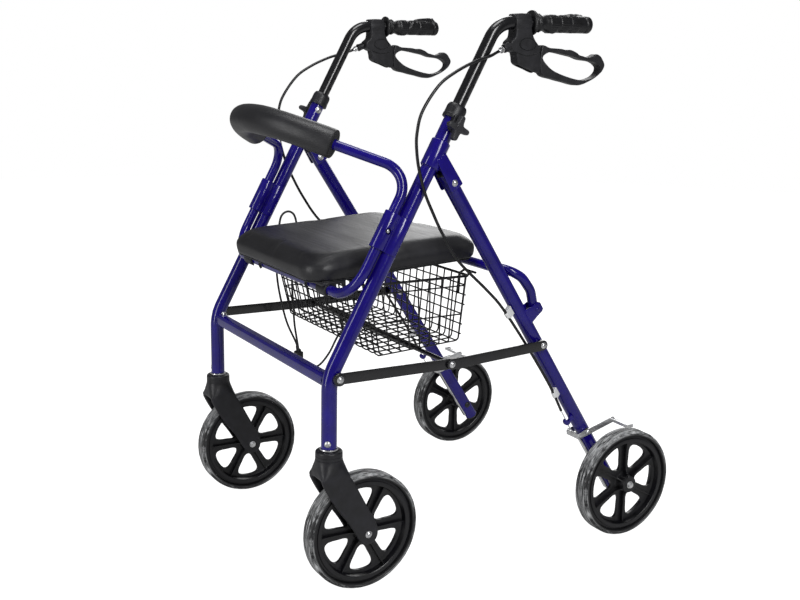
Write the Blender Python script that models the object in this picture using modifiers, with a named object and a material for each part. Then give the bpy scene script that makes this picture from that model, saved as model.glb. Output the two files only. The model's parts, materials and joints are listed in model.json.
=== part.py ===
"""Rollator walker with four wheels, a flip-up seat, a bow backrest, a wire basket and loop brakes.

Metres, +Z up, origin on the floor in the middle of the wheelbase. The walker rolls towards -Y, and its
user stands at +Y. "left" is the user's left, at +X. Everything that comes in pairs is made by a loop
over SIDES, which mirrors positions in X.
"""
import math

import bmesh
import bpy
from mathutils import Matrix, Vector

# ---------------------------------------------------------------- driving dimensions
SIDES = {"left": 1.0, "right": -1.0}
GAP = 0.0003                    # clearance between touching pieces

LEG_X = 0.2385                  # plane of the legs, the handles and the casters
LEG_R = 0.0127                  # one-inch frame tube
LEG_FOOT = Vector((-0.3222, 0.2508))        # (y, z) of the lower end of the front leg
LEG_CORNER_Z = 0.3654           # where the vertical foot meets the raked leg
LEAN = math.radians(28.4)       # rake of the front leg from the vertical
LEG_LENGTH = 0.4577             # from that corner to the top of the leg
LEG_BEND_R = 0.09
ALONG = Vector((math.sin(LEAN), math.cos(LEAN)))      # up the raked leg, in (y, z)
ACROSS = Vector((-math.cos(LEAN), math.sin(LEAN)))    # forward, square to the leg
LEG_CORNER = Vector((LEG_FOOT.x, LEG_CORNER_Z))
LEG_TOP = LEG_CORNER + ALONG * LEG_LENGTH

HANDLE_R = 0.0105               # sliding handle tube
HANDLE_Z = 0.915                # height of the grip's axis
HANDLE_INSERT = 0.14            # handle tube held inside the leg
HANDLE_BEND_R = 0.047
LEG_BORE = 0.235                # depth of the bore that the handle tube slides in
GRIP_Y = (0.0385, 0.1620)
GRIP_R = 0.0150

PIVOT = Vector((-0.1085, 0.6637))           # fold axis, where the rear legs hang
WHEEL_R = 0.100
WHEEL_HALF = 0.0157
REAR_AXLE = Vector((0.2626, WHEEL_R))
FRONT_AXLE = Vector((-0.2627, WHEEL_R))
REAR_WHEEL_X = 0.2835
REAR_LEG_PAST_AXLE = 0.036
REAR_LEG_PAST_PIVOT = 0.019
DOWN = (REAR_AXLE - PIVOT).normalized()     # down the rear leg, in (y, z)
BACK = Vector((-DOWN.y, DOWN.x))            # rearward, square to the rear leg

LINK_FRONT = Vector((-0.3135, 0.3665))      # pivot of the front fold bar on the front leg
LINK_MID = Vector((-0.1062, 0.3651))        # where the two fold bars meet
LINK_REAR = Vector((0.0823, 0.3750))        # pivot of the rear fold bar on the rear leg
LINK_HALF_WIDTH = 0.009
FRONT_LINK_X = (0.0145, 0.0180)             # offsets from the leg plane
REAR_LINK_X = (0.0185, 0.0220)
ROD_R = 0.004
LUG_X = (-0.104, -0.130)        # lugs on the cross rod that hold the pull cord
LUG_DROP = 0.0100

SEAT_TUBE_R = 0.0085            # seat and backrest tubes
SLEEVE_OFFSET = 0.0242          # from the leg's axis forward to the sleeve's axis
SLEEVE_Z = (0.5650, 0.6200)     # lower and upper end of the sleeve
SLEEVE_R = 0.0122
SEAT_PIVOT = Vector((-0.2834, 0.488))       # (y, z) of the front seat tube, the seat's hinge axis
SEAT_TILT = math.radians(3.5)
SEAT_HALF = 0.176
SEAT_Y = (-0.042, 0.293)        # seat's front and rear edge, measured from the hinge axis
SEAT_CLIP_X = 0.150             # the clips under the seat board, from the middle
BOARD_Z = (0.0140, 0.0200)      # seat board, above the hinge axis
PAD_Z = (0.0203, 0.0555)        # seat cushion, above the hinge axis

BOW_END = Vector((0.154, -0.2742, 0.7214))  # end of the backrest pad
BOW_MID = Vector((0.0, -0.3453, 0.7540))    # middle of the bow
BOW_POWER = 2.22
BOW_CORNER_Z = 0.6815           # where the backrest tube leaves the sleeve's line
PAD_R = 0.024

BAIL_PIVOT = Vector((0.0725, 0.4386))       # seat bail's pivot, behind the rear leg
BAIL_TOP = Vector((0.0080, 0.5095))         # the bail's cross run, under the seat's rear edge

BASKET_WALL = 0.002
# half width, front y, rear y, front z and rear z of the basket's floor, knee and rim; the floor hangs level
# with the tilted seat
BASKET_LEVELS = ((0.1750, -0.1930, -0.0340, 0.3653, 0.3738), (0.1765, -0.2015, -0.0305, 0.3725, 0.3810),
                 (0.1830, -0.2300, -0.0220, 0.4940, 0.4940))

LEVER_PIVOT = Vector((0.0270, 0.8817))
BRAKE_PIVOT = Vector((0.1990, 0.1965))
SHOE = Vector((0.2560, 0.2120))

# ---------------------------------------------------------------- scene and materials
for old in list(bpy.data.objects):
    bpy.data.objects.remove(old, do_unlink=True)

PARTS = bpy.data.collections.new("rollator_walker")
CUTTERS = bpy.data.collections.new("cutters")
for group in (PARTS, CUTTERS):
    bpy.context.scene.collection.children.link(group)


def material(name, colour, roughness, metallic=0.0):
    made = bpy.data.materials.new(name)
    made.use_nodes = True
    shader = made.node_tree.nodes["Principled BSDF"]
    shader.inputs["Base Color"].default_value = (*colour, 1.0)
    shader.inputs["Roughness"].default_value = roughness
    shader.inputs["Metallic"].default_value = metallic
    return made


BLUE = material("blue_paint", (0.020, 0.012, 0.300), 0.22, 0.3)
BLACK_PAINT = material("black_paint", (0.020, 0.020, 0.023), 0.35)
BLACK_PLASTIC = material("black_plastic", (0.016, 0.016, 0.018), 0.42)
RIM_PLASTIC = material("rim_plastic", (0.014, 0.014, 0.015), 0.38)
TYRE = material("tyre_rubber", (0.110, 0.108, 0.105), 0.75)
GRIP = material("grip_rubber", (0.018, 0.018, 0.020), 0.60)
ZINC = material("zinc", (0.640, 0.640, 0.620), 0.28, 1.0)
VINYL = material("seat_vinyl", (0.070, 0.072, 0.078), 0.40)
FOAM = material("backrest_foam", (0.085, 0.085, 0.090), 0.55)
BOARD = material("seat_board_black", (0.018, 0.018, 0.018), 0.60)
WIRE = material("basket_wire", (0.012, 0.012, 0.014), 0.35)
CABLE = material("cable_jacket", (0.012, 0.012, 0.012), 0.40)
CORD = material("pull_cord", (0.010, 0.010, 0.010), 0.70)


# ---------------------------------------------------------------- modelling helpers
def keep(obj, paint):
    """Puts a finished piece in the parts collection, with its material."""
    obj.data.materials.append(paint)
    PARTS.objects.link(obj)
    return obj


def helper(obj):
    """Puts a cutter or a joined shape where it isn't rendered."""
    CUTTERS.objects.link(obj)
    obj.hide_render = True
    obj.display_type = "WIRE"
    return obj


def boolean(obj, other, operation):
    """Adds a live Boolean of another mesh object to obj."""
    helper(other)
    step = obj.modifiers.new(operation.lower(), "BOOLEAN")
    step.operation = operation
    step.solver = "EXACT"
    step.object = other
    return obj


def clear_radius(radius, sides):
    """Radius of a faceted bore whose flats stay GAP clear of a round bar."""
    return (radius + GAP) / math.cos(math.pi / sides)


def mesh_object(name, bm):
    mesh = bpy.data.meshes.new(name)
    bm.to_mesh(mesh)
    bm.free()
    return bpy.data.objects.new(name, mesh)


def smooth(obj, angle=40.0):
    obj.data.shade_smooth()
    obj.data.set_sharp_from_angle(angle=math.radians(angle))
    return obj


def cylinder(name, start, end, radius, sides=12):
    """A capped round bar between two points."""
    start, end = Vector(start), Vector(end)
    bm = bmesh.new()
    length = (end - start).length
    bmesh.ops.create_cone(bm, cap_ends=True, segments=sides, radius1=radius, radius2=radius, depth=length)
    turn = (end - start).to_track_quat("Z", "Y").to_matrix().to_4x4()
    bmesh.ops.transform(bm, matrix=Matrix.Translation((start + end) / 2) @ turn, verts=bm.verts)
    return smooth(mesh_object(name, bm))


def box(name, low, high):
    low, high = Vector(low), Vector(high)
    bm = bmesh.new()
    bmesh.ops.create_cube(bm, size=1.0)
    fit = Matrix.Translation((low + high) / 2) @ Matrix.Diagonal((*(high - low), 1.0))
    bmesh.ops.transform(bm, matrix=fit, verts=bm.verts)
    return mesh_object(name, bm)


def as_mesh(curve):
    """The curve's evaluated surface as a mesh object with welded caps, in the curve's place."""
    PARTS.objects.link(curve)
    bpy.context.view_layer.update()
    shape = curve.evaluated_get(bpy.context.evaluated_depsgraph_get())
    mesh = bpy.data.meshes.new_from_object(shape)
    place = curve.matrix_world.copy()
    name = curve.name
    bpy.data.objects.remove(curve, do_unlink=True)
    bm = bmesh.new()
    bm.from_mesh(mesh)
    bmesh.ops.remove_doubles(bm, verts=bm.verts, dist=0.00001)
    bm.to_mesh(mesh)
    bm.free()
    made = bpy.data.objects.new(name, mesh)
    made.matrix_world = place
    return made


def rounded(points, radius, steps=6):
    """A route whose inner corners are arcs of the given radius, as a list of points."""
    points = [Vector(p) for p in points]
    route = [points[0]]
    for before, corner, after in zip(points, points[1:], points[2:]):
        into, out = (corner - before).normalized(), (after - corner).normalized()
        turn = into.angle(out)
        if turn < math.radians(2.0):
            route.append(corner)
            continue
        reach = radius * math.tan(turn / 2)
        centre = corner + (out - into).normalized() * (radius / math.cos(turn / 2))
        first = corner - into * reach - centre
        axis = into.cross(out).normalized()
        for i in range(steps + 1):
            route.append(centre + Matrix.Rotation(turn * i / steps, 3, axis) @ first)
    route.append(points[-1])
    return route


def smooth_route(points, count):
    """A Catmull-Rom curve through hand-placed points, read at evenly spaced places."""
    points = [Vector(p) for p in points]
    ends = [2 * points[0] - points[1], *points, 2 * points[-1] - points[-2]]
    route = []
    for i in range(count + 1):
        place = i / count * (len(points) - 1)
        k = min(int(place), len(points) - 2)
        t = place - k
        a, b, c, d = ends[k:k + 4]
        route.append(0.5 * (2 * b + (c - a) * t + (2 * a - 5 * b + 4 * c - d) * t ** 2
                            + (3 * b - 3 * c + d - a) * t ** 3))
    return route


def tube(name, route, radius, sides=12):
    """A round bar that follows a route, as a mesh object."""
    curve = bpy.data.curves.new(name, "CURVE")
    curve.dimensions = "3D"
    curve.bevel_depth = radius
    curve.bevel_resolution = sides // 2 - 2
    curve.use_fill_caps = True
    line = curve.splines.new("POLY")
    line.points.add(len(route) - 1)
    for spot, place in zip(line.points, route):
        spot.co = (*place, 1.0)
    return smooth(as_mesh(bpy.data.objects.new(name, curve)), 60.0)


def plate(name, loops, x_low, x_high):
    """A flat outline in the (y, z) plane, with holes, between two X planes."""
    curve = bpy.data.curves.new(name, "CURVE")
    curve.dimensions = "2D"
    curve.fill_mode = "BOTH"
    curve.extrude = abs(x_high - x_low) / 2
    for loop in loops:
        line = curve.splines.new("POLY")
        line.points.add(len(loop) - 1)
        line.use_cyclic_u = True
        for spot, place in zip(line.points, loop):
            spot.co = (place[0], place[1], 0.0, 1.0)
    obj = bpy.data.objects.new(name, curve)
    to_yz = Matrix(((0, 0, 1, 0), (1, 0, 0, 0), (0, 1, 0, 0), (0, 0, 0, 1)))
    obj.matrix_world = Matrix.Translation(((x_low + x_high) / 2, 0, 0)) @ to_yz
    return as_mesh(obj)


def turned(name, profile, origin, axis, steps=20):
    """A turned piece: (radius, height) points from the top down the outer side, about an axis."""
    mesh = bpy.data.meshes.new(name)
    closed = profile[0][0] > 0
    count = len(profile)
    edges = [(i, (i + 1) % count) for i in range(count if closed else count - 1)]
    mesh.from_pydata([(r, 0.0, h) for r, h in profile], edges, [])
    obj = bpy.data.objects.new(name, mesh)
    turn = Vector(axis).to_track_quat("Z", "Y").to_matrix().to_4x4()
    obj.matrix_world = Matrix.Translation(Vector(origin)) @ turn
    screw = obj.modifiers.new("turn", "SCREW")
    screw.axis = "Z"
    screw.steps = steps
    screw.render_steps = steps
    screw.use_merge_vertices = True
    screw.merge_threshold = 0.00001
    screw.use_smooth_shade = True
    return obj


def ring(centre, radius, count, start=0.0, squash=1.0):
    """Points of a circle in the (y, z) plane."""
    return [(centre[0] + radius * math.cos(start + 2 * math.pi * i / count),
             centre[1] + squash * radius * math.sin(start + 2 * math.pi * i / count))
            for i in range(count)]


def stadium(a, b, half_width, steps=6):
    """Outline of a flat bar with round ends between two (y, z) points."""
    a, b = Vector(a), Vector(b)
    heading = math.atan2((b - a).y, (b - a).x)
    points = []
    for centre, start in ((b, heading - math.pi / 2), (a, heading + math.pi / 2)):
        for i in range(steps + 1):
            angle = start + math.pi * i / steps
            points.append((centre.x + half_width * math.cos(angle),
                           centre.y + half_width * math.sin(angle)))
    return points


def at(side, offset, yz):
    """A world point at an outward offset from a leg's plane."""
    return Vector((side * (LEG_X + offset), yz[0], yz[1]))


def span(side, low, high):
    """World X of two outward offsets from a leg's plane, in rising order."""
    return sorted((side * (LEG_X + low), side * (LEG_X + high)))


def leg_axis(z):
    """(y, z) of the raked front leg's axis at a height."""
    return LEG_CORNER + ALONG * ((z - LEG_CORNER.y) / ALONG.y)


def sleeve_axis(z):
    """(y, z) of the seat sleeve's axis, in front of the leg."""
    return leg_axis(z - SLEEVE_OFFSET * ACROSS.y) + ACROSS * SLEEVE_OFFSET


def hole(name, side, yz, radius, low=-0.04, high=0.04, sides=12):
    """A cutter for a cross hole, along X."""
    return cylinder(name, at(side, low, yz), at(side, high, yz), clear_radius(radius, sides), sides)


# ---------------------------------------------------------------- front frame
def front_leg(side, word):
    name = f"front_leg_{word}"
    route = rounded([at(side, 0, LEG_FOOT), at(side, 0, LEG_CORNER), at(side, 0, LEG_TOP)], LEG_BEND_R, 5)
    leg = tube(name, route, LEG_R, 16)
    top = LEG_TOP + ALONG * 0.01
    bottom = LEG_TOP - ALONG * LEG_BORE
    bore = cylinder(f"{name}_bore", at(side, 0, bottom), at(side, 0, top), clear_radius(HANDLE_R, 16), 16)
    boolean(leg, bore, "DIFFERENCE")
    boolean(leg, hole(f"{name}_link_hole", side, LINK_FRONT, 0.0032, -0.0105), "DIFFERENCE")
    stem = cylinder(f"{name}_stem_bore", at(side, 0, LEG_FOOT - Vector((0, 0.01))),
                    at(side, 0, LEG_FOOT + Vector((0, 0.030))), clear_radius(0.0050, 12))
    boolean(leg, stem, "DIFFERENCE")
    keep(leg, BLUE)


def cross_tube():
    """Rounded square tube between the two front legs."""
    centre = Vector((-0.3185, 0.3580))
    half, reach = 0.0100, LEG_X - LEG_R - GAP
    bar = box("front_cross_tube", (-reach, centre.x - half, centre.y - half),
              (reach, centre.x + half, centre.y + half))
    edges = bar.modifiers.new("edges", "BEVEL")
    edges.width = 0.0045
    edges.segments = 2
    keep(bar, BLUE)


def hinge_bracket(side, word):
    """Sleeve round the front leg with two flat straps that hold the rear leg's bolt."""
    name = f"top_hinge_bracket_{word}"
    end, top = PIVOT + DOWN * 0.0105, PIVOT - DOWN * 0.0500
    outline = [end - DOWN * 0.002 - BACK * 0.0125, end - BACK * 0.0105, end + BACK * 0.0105,
               end - DOWN * 0.002 + BACK * 0.0125, top + BACK * 0.0110, top - BACK * 0.0090]
    bracket = plate(name, [outline], *span(side, -0.0162, 0.0162))
    wrap = cylinder(f"{name}_wrap", at(side, 0, leg_axis(0.689)), at(side, 0, leg_axis(0.728)), 0.0153, 16)
    boolean(bracket, wrap, "UNION")
    leg = cylinder(f"{name}_leg_bore", at(side, 0, leg_axis(0.60)), at(side, 0, leg_axis(0.80)),
                   clear_radius(LEG_R, 16), 16)
    slot_top = PIVOT - DOWN * 0.030
    slot = plate(f"{name}_slot", [[slot_top - BACK * 0.03, PIVOT + DOWN * 0.05 - BACK * 0.03,
                                   PIVOT + DOWN * 0.05 + BACK * 0.03, slot_top + BACK * 0.03]],
                 *span(side, -0.0132, 0.0132))
    boolean(bracket, leg, "DIFFERENCE")
    boolean(bracket, slot, "DIFFERENCE")
    boolean(bracket, hole(f"{name}_bolt_hole", side, PIVOT, 0.0040), "DIFFERENCE")
    keep(bracket, BLUE)


def hinge_bolt(side, word):
    """Bolt of the fold axis, with a round head outside and a nut inside."""
    ear, head = 0.0165, 0.0040
    profile = [(0, ear + head), (0.0052, ear + head), (0.0078, ear + 0.0012), (0.0078, ear), (0.0040, ear),
               (0.0040, -ear), (0.0070, -ear), (0.0070, -ear - head), (0, -ear - head)]
    keep(turned(f"hinge_bolt_{word}", profile, at(side, 0, PIVOT), (side, 0, 0), 12), ZINC)


def seat_clamp(side, word):
    """Double sleeve: a saddle on the front leg and a socket for the seat and backrest tubes."""
    name = f"seat_clamp_{word}"
    low, high = (sleeve_axis(z) for z in SLEEVE_Z)
    clamp = cylinder(name, at(side, 0, low), at(side, 0, high), SLEEVE_R, 16)
    web_back = ACROSS * -0.0190
    web = plate(f"{name}_web", [[low + web_back, low, high, high + web_back]], *span(side, -0.0065, 0.0065))
    boolean(clamp, web, "UNION")
    reach = ALONG * 0.02
    leg = cylinder(f"{name}_leg_bore", at(side, 0, leg_axis(0.52)), at(side, 0, leg_axis(0.66)),
                   clear_radius(LEG_R, 16), 16)
    socket = cylinder(f"{name}_socket", at(side, 0, low - reach), at(side, 0, high + reach),
                      clear_radius(SEAT_TUBE_R, 12), 12)
    boolean(clamp, leg, "DIFFERENCE")
    boolean(clamp, socket, "DIFFERENCE")
    keep(clamp, BLUE)


def seat_front_tube():
    """U-shaped tube that the seat hinges on, between the two sleeves."""
    top = sleeve_axis((SLEEVE_Z[0] + SLEEVE_Z[1]) / 2 - 0.002)
    corner = sleeve_axis(SEAT_PIVOT.y)
    half = [at(1, 0, top), at(1, 0, corner)]
    route = rounded(half + [Vector((-p.x, p.y, p.z)) for p in reversed(half)], 0.055, 6)
    keep(tube("seat_front_tube", route, SEAT_TUBE_R, 12), BLUE)


def bow_point(share):
    """The bow's axis from its right end (-1) to its left end (1)."""
    bend = abs(share) ** BOW_POWER
    return Vector((BOW_END.x * share, BOW_MID.y + (BOW_END.y - BOW_MID.y) * bend,
                   BOW_MID.z + (BOW_END.z - BOW_MID.z) * bend))


def bow_route(count):
    return [bow_point(-1 + 2 * i / count) for i in range(count + 1)]


def backrest():
    """Bent backrest tube, and the foam cylinder that sits on its bow."""
    low = sleeve_axis((SLEEVE_Z[0] + SLEEVE_Z[1]) / 2 + 0.002)
    arm = rounded([at(1, 0, low), at(1, 0, sleeve_axis(BOW_CORNER_Z)), bow_point(1.0)], 0.042, 6)
    mirrored = [Vector((-p.x, p.y, p.z)) for p in arm]
    bow = list(reversed(bow_route(14)))[1:-1]
    keep(tube("backrest_tube", arm + bow + list(reversed(mirrored)), SEAT_TUBE_R, 12), BLUE)
    pad = tube("backrest_pad", bow_route(14), PAD_R, 16)
    ends = [bow_point(-1) + (bow_point(-1) - bow_point(-0.97)) * 2,
            bow_point(1) + (bow_point(1) - bow_point(0.97)) * 2]
    bore = tube("backrest_pad_bore", [ends[0], *bow_route(14)[1:-1], ends[1]], SEAT_TUBE_R + 0.0012, 12)
    boolean(pad, bore, "DIFFERENCE")
    keep(pad, FOAM)


# ---------------------------------------------------------------- handles and brakes
def height_collar(side, word):
    """Plastic collar on the leg's top, round the sliding handle tube."""
    inner, leg = clear_radius(HANDLE_R, 20), clear_radius(LEG_R, 20)
    profile = [(0.0150, 0.0185), (0.0168, 0.0160), (0.0168, -0.0060), (leg, -0.0060), (leg, GAP),
               (inner, GAP), (inner, 0.0185)]
    origin = at(side, 0, LEG_TOP)
    keep(turned(f"height_collar_{word}", profile, origin, Vector((0, *ALONG)), 20), BLACK_PLASTIC)


def star_knob(side, word):
    """Four-lobed clamp knob on its stud, outside the leg."""
    name = f"star_knob_{word}"
    axis = leg_axis(0.7510)
    count = 32
    outline = []
    for i in range(count):
        angle = 2 * math.pi * i / count
        radius = 0.0142 + 0.0063 * math.cos(4 * angle)
        outline.append((axis.x + radius * math.cos(angle + 0.75), axis.y + radius * math.sin(angle + 0.75)))
    knob = plate(name, [outline], *span(side, 0.0225, 0.0335))
    stud = cylinder(f"{name}_stud", at(side, LEG_R + 0.0008, axis), at(side, 0.0250, axis), 0.0055, 12)
    boolean(knob, stud, "UNION")
    keep(knob, BLACK_PLASTIC)


def handle_route(side):
    corner = LEG_CORNER + ALONG * ((HANDLE_Z - LEG_CORNER.y) / ALONG.y)
    low = LEG_TOP - ALONG * HANDLE_INSERT
    end = Vector((GRIP_Y[1] - 0.0060, HANDLE_Z))
    return rounded([at(side, 0, low), at(side, 0, corner), at(side, 0, end)], HANDLE_BEND_R, 7)


def handle_tube(side, word):
    keep(tube(f"handle_tube_{word}", handle_route(side), HANDLE_R, 16), BLACK_PAINT)


def grip(side, word):
    """Rubber grip: a sleeve with a flange in front and a closed rear end."""
    length = GRIP_Y[1] - GRIP_Y[0]
    bore = clear_radius(HANDLE_R, 20)
    profile = [(0, length), (0.0125, length), (GRIP_R, length - 0.004), (GRIP_R, 0.012), (0.0205, 0.007),
               (0.0205, 0.0), (bore, 0.0), (bore, length - 0.0045), (0, length - 0.0045)]
    origin = at(side, 0, (GRIP_Y[0], HANDLE_Z))
    keep(turned(f"grip_{word}", profile, origin, (0, 1, 0), 20), GRIP)


def brake_housing(side, word):
    """Bracket clamped round the handle tube, with two cheeks and a riveted pin for the brake lever."""
    name = f"brake_housing_{word}"
    outline = [(0.0035, 0.9285), (0.0330, 0.9285), (0.0365, 0.9150), (0.0379, 0.8940), (0.0440, 0.8900),
               (0.0500, 0.8810), (0.0540, 0.8690), (0.0560, 0.8560), (0.0569, 0.8387), (0.0503, 0.8351),
               (0.0112, 0.8489), (0.0080, 0.8640), (-0.0040, 0.8720), (-0.0067, 0.8835), (0.0035, 0.8924),
               (0.0045, 0.9050)]
    body = plate(name, [outline], *span(side, -0.0125, 0.0125))
    way = adjuster_way(side)
    boss = cylinder(f"{name}_boss", at(side, ADJUSTER_X, ADJUSTER_AT) - way * 0.0150,
                    at(side, ADJUSTER_X, ADJUSTER_AT) - way * GAP, 0.0062, 12)
    boolean(body, boss, "UNION")
    bar = cylinder(f"{name}_bore", at(side, 0, (-0.01, HANDLE_Z)), at(side, 0, (0.06, HANDLE_Z)),
                   clear_radius(HANDLE_R, 16), 16)
    low, high = span(side, -0.0065, 0.0065)
    slot = box(f"{name}_slot", (low, 0.0135, 0.8300), (high, 0.0700, 0.8960))
    boolean(body, bar, "DIFFERENCE")
    boolean(body, slot, "DIFFERENCE")
    pin = cylinder(f"{name}_pin", at(side, -0.0142, LEVER_PIVOT), at(side, 0.0150, LEVER_PIVOT), 0.0035, 12)
    boolean(body, pin, "UNION")
    keep(body, BLACK_PLASTIC)


def brake_lever(side, word):
    """Loop lever: a hub between the housing's cheeks and a closed, wider finger loop behind it."""
    name = f"brake_lever_{word}"
    hub = [(LEVER_PIVOT.x + 0.0105 * math.cos(a), LEVER_PIVOT.y + 0.0105 * math.sin(a))
           for a in (math.radians(d) for d in (60, 95, 130, 165, 200, 235))]
    upper_edge = [(0.1951, 0.8514), (0.1900, 0.8606), (0.1771, 0.8690), (0.1630, 0.8638), (0.1485, 0.8644),
                  (0.1338, 0.8705), (0.1193, 0.8753), (0.0980, 0.8765)]
    lower_edge = [(0.0890, 0.8263), (0.1135, 0.8214), (0.1375, 0.8170), (0.1494, 0.8188), (0.1729, 0.8282),
                  (0.1914, 0.8422)]
    inner = [(0.0650, 0.8660), (0.0625, 0.8586), (0.0722, 0.8487), (0.1037, 0.8345), (0.1474, 0.8270),
             (0.1742, 0.8300), (0.1836, 0.8350), (0.1870, 0.8420), (0.1857, 0.8492), (0.1697, 0.8565),
             (0.1452, 0.8589), (0.1159, 0.8657), (0.0756, 0.8704)]
    root = hub + [(0.0330, 0.8560), (0.0590, 0.8362)]
    lever = plate(name, [root + lower_edge + upper_edge + [(0.0600, 0.8795)]], *span(side, -0.0055, 0.0055))
    loop = plate(f"{name}_loop", [[(0.0605, 0.8361)] + lower_edge + upper_edge + [(0.0605, 0.8792)]],
                 *span(side, -0.0085, 0.0085))
    boolean(lever, loop, "UNION")
    boolean(lever, plate(f"{name}_finger_gap", [inner], *span(side, -0.02, 0.02)), "DIFFERENCE")
    boolean(lever, hole(f"{name}_pin_hole", side, LEVER_PIVOT, 0.0035), "DIFFERENCE")
    keep(lever, BLACK_PLASTIC)


ADJUSTER_AT = Vector((-0.0168, 0.8736))     # (y, z) where the adjuster leaves the housing
ADJUSTER_X = 0.0070                         # its offset from the leg's plane
ADJUSTER_WAY = Vector((0.10, -0.925, -0.365))
ADJUSTER_LENGTH = 0.0105


def adjuster_way(side):
    return Vector((side * ADJUSTER_WAY.x, ADJUSTER_WAY.y, ADJUSTER_WAY.z)).normalized()


def cable_adjuster(side, word):
    """Threaded barrel that carries the brake cable's upper end."""
    profile = [(0, ADJUSTER_LENGTH), (0.0032, ADJUSTER_LENGTH), (0.0036, 0.0066), (0.0050, 0.0060),
               (0.0050, 0.0010), (0.0042, 0.0), (0, 0.0)]
    origin = at(side, ADJUSTER_X, ADJUSTER_AT)
    keep(turned(f"cable_adjuster_{word}", profile, origin, adjuster_way(side), 12), ZINC)


CABLE_R = 0.0025
# (outward offset from the leg's plane, y, z): from behind the adjuster, past the front leg's outer side,
# to the anchor on the rear leg
CABLE_ROUTE = [(0.0145, -0.0480, 0.8620), (0.0165, -0.0780, 0.8530), (0.0180, -0.1140, 0.8370),
               (0.0185, -0.1450, 0.8160), (0.0190, -0.1740, 0.7770), (0.0190, -0.1830, 0.7430),
               (0.0190, -0.1825, 0.7150), (0.0190, -0.1770, 0.6850), (0.0190, -0.1660, 0.6510),
               (0.0190, -0.1510, 0.6200), (0.0180, -0.1300, 0.5830), (0.0155, -0.0970, 0.5370),
               (0.0130, -0.0370, 0.4830), (0.0110, -0.0040, 0.4510), (0.0090, 0.0380, 0.3985),
               (0.0090, 0.0760, 0.3460), (0.0095, 0.1130, 0.2910), (0.0085, 0.1400, 0.2440)]


def brake_cable(side, word):
    """Brake cable in its jacket, whole from the adjuster to the anchor on the rear leg."""
    start = at(side, ADJUSTER_X, ADJUSTER_AT) + adjuster_way(side) * (ADJUSTER_LENGTH + GAP)
    ahead = start + adjuster_way(side) * 0.006
    points = [start, ahead] + [at(side, offset, (y, z)) for offset, y, z in CABLE_ROUTE]
    keep(tube(f"brake_cable_{word}", smooth_route(points, 40), CABLE_R, 8), CABLE)


# ---------------------------------------------------------------- casters and wheels
HUB_R = 0.0150
AXLE_R = 0.0040
RIM_R = 0.0900
TYRE_INNER = RIM_R + 0.0006


def wheel_rim(name, centre, hub_half, first_window):
    """Plastic wheel: a hub with a bore, a recessed web with six openings, and an outer ring."""
    bore = clear_radius(AXLE_R, 24)
    web, ring_half, ring_in = 0.0030, 0.0135, 0.0775
    profile = [(HUB_R, hub_half), (HUB_R + 0.001, web), (ring_in, web), (ring_in + 0.002, ring_half),
               (RIM_R, ring_half), (RIM_R, -ring_half), (ring_in + 0.002, -ring_half), (ring_in, -web),
               (HUB_R + 0.001, -web), (HUB_R, -hub_half), (bore, -hub_half), (bore, hub_half)]
    rim = turned(name, profile, centre, (1, 0, 0), 24)
    windows = bmesh.new()
    for i in range(6):
        middle = math.radians(first_window + 60 * i)
        window = bmesh.new()
        bmesh.ops.create_cone(window, cap_ends=True, segments=3, radius1=0.0235, radius2=0.0235, depth=0.02)
        bmesh.ops.bevel(window, geom=[e for e in window.edges
                                      if abs(e.verts[0].co.z - e.verts[1].co.z) > 0.01],
                        offset=0.0140, segments=2, affect="EDGES", profile=0.5)
        place = (Matrix.Translation((0, 0.0490 * math.cos(middle), 0.0490 * math.sin(middle)))
                 @ Matrix.Rotation(middle, 4, "X") @ Matrix.Rotation(math.radians(90), 4, "Y")
                 @ Matrix.Rotation(math.radians(-90), 4, "Z"))
        bmesh.ops.transform(window, matrix=place, verts=window.verts)
        part = bpy.data.meshes.new(f"{name}_window")
        window.to_mesh(part)
        window.free()
        windows.from_mesh(part)
    cutter = mesh_object(f"{name}_windows", windows)
    cutter.location = centre
    boolean(rim, cutter, "DIFFERENCE")
    keep(rim, RIM_PLASTIC)


def tyre(name, centre):
    """Solid tyre with a flat tread and rounded shoulders."""
    outline = [(WHEEL_R - 0.0060, WHEEL_HALF), (WHEEL_R - 0.0015, WHEEL_HALF - 0.0030),
               (WHEEL_R, WHEEL_HALF - 0.0080), (WHEEL_R, -WHEEL_HALF + 0.0080),
               (WHEEL_R - 0.0015, -WHEEL_HALF + 0.0030), (WHEEL_R - 0.0060, -WHEEL_HALF),
               (TYRE_INNER, -WHEEL_HALF + 0.002), (TYRE_INNER, WHEEL_HALF - 0.002)]
    keep(turned(name, outline, centre, (1, 0, 0), 32), TYRE)


def axle(name, centre, inner, outer, out):
    """Axle bolt along X, from its head at the inner end to its nut at the outer end."""
    profile = [(0, outer), (0.0060, outer), (0.0068, outer - 0.0055), (AXLE_R, outer - 0.0055),
               (AXLE_R, inner + 0.0040), (0.0068, inner + 0.0040), (0.0060, inner), (0, inner)]
    keep(turned(name, profile, centre, (out, 0, 0), 12), ZINC)


FORK_BLADE_X = (0.0188, 0.0268)             # offsets from the wheel's middle
FORK_TOP = LEG_FOOT.y - 0.0032


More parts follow.
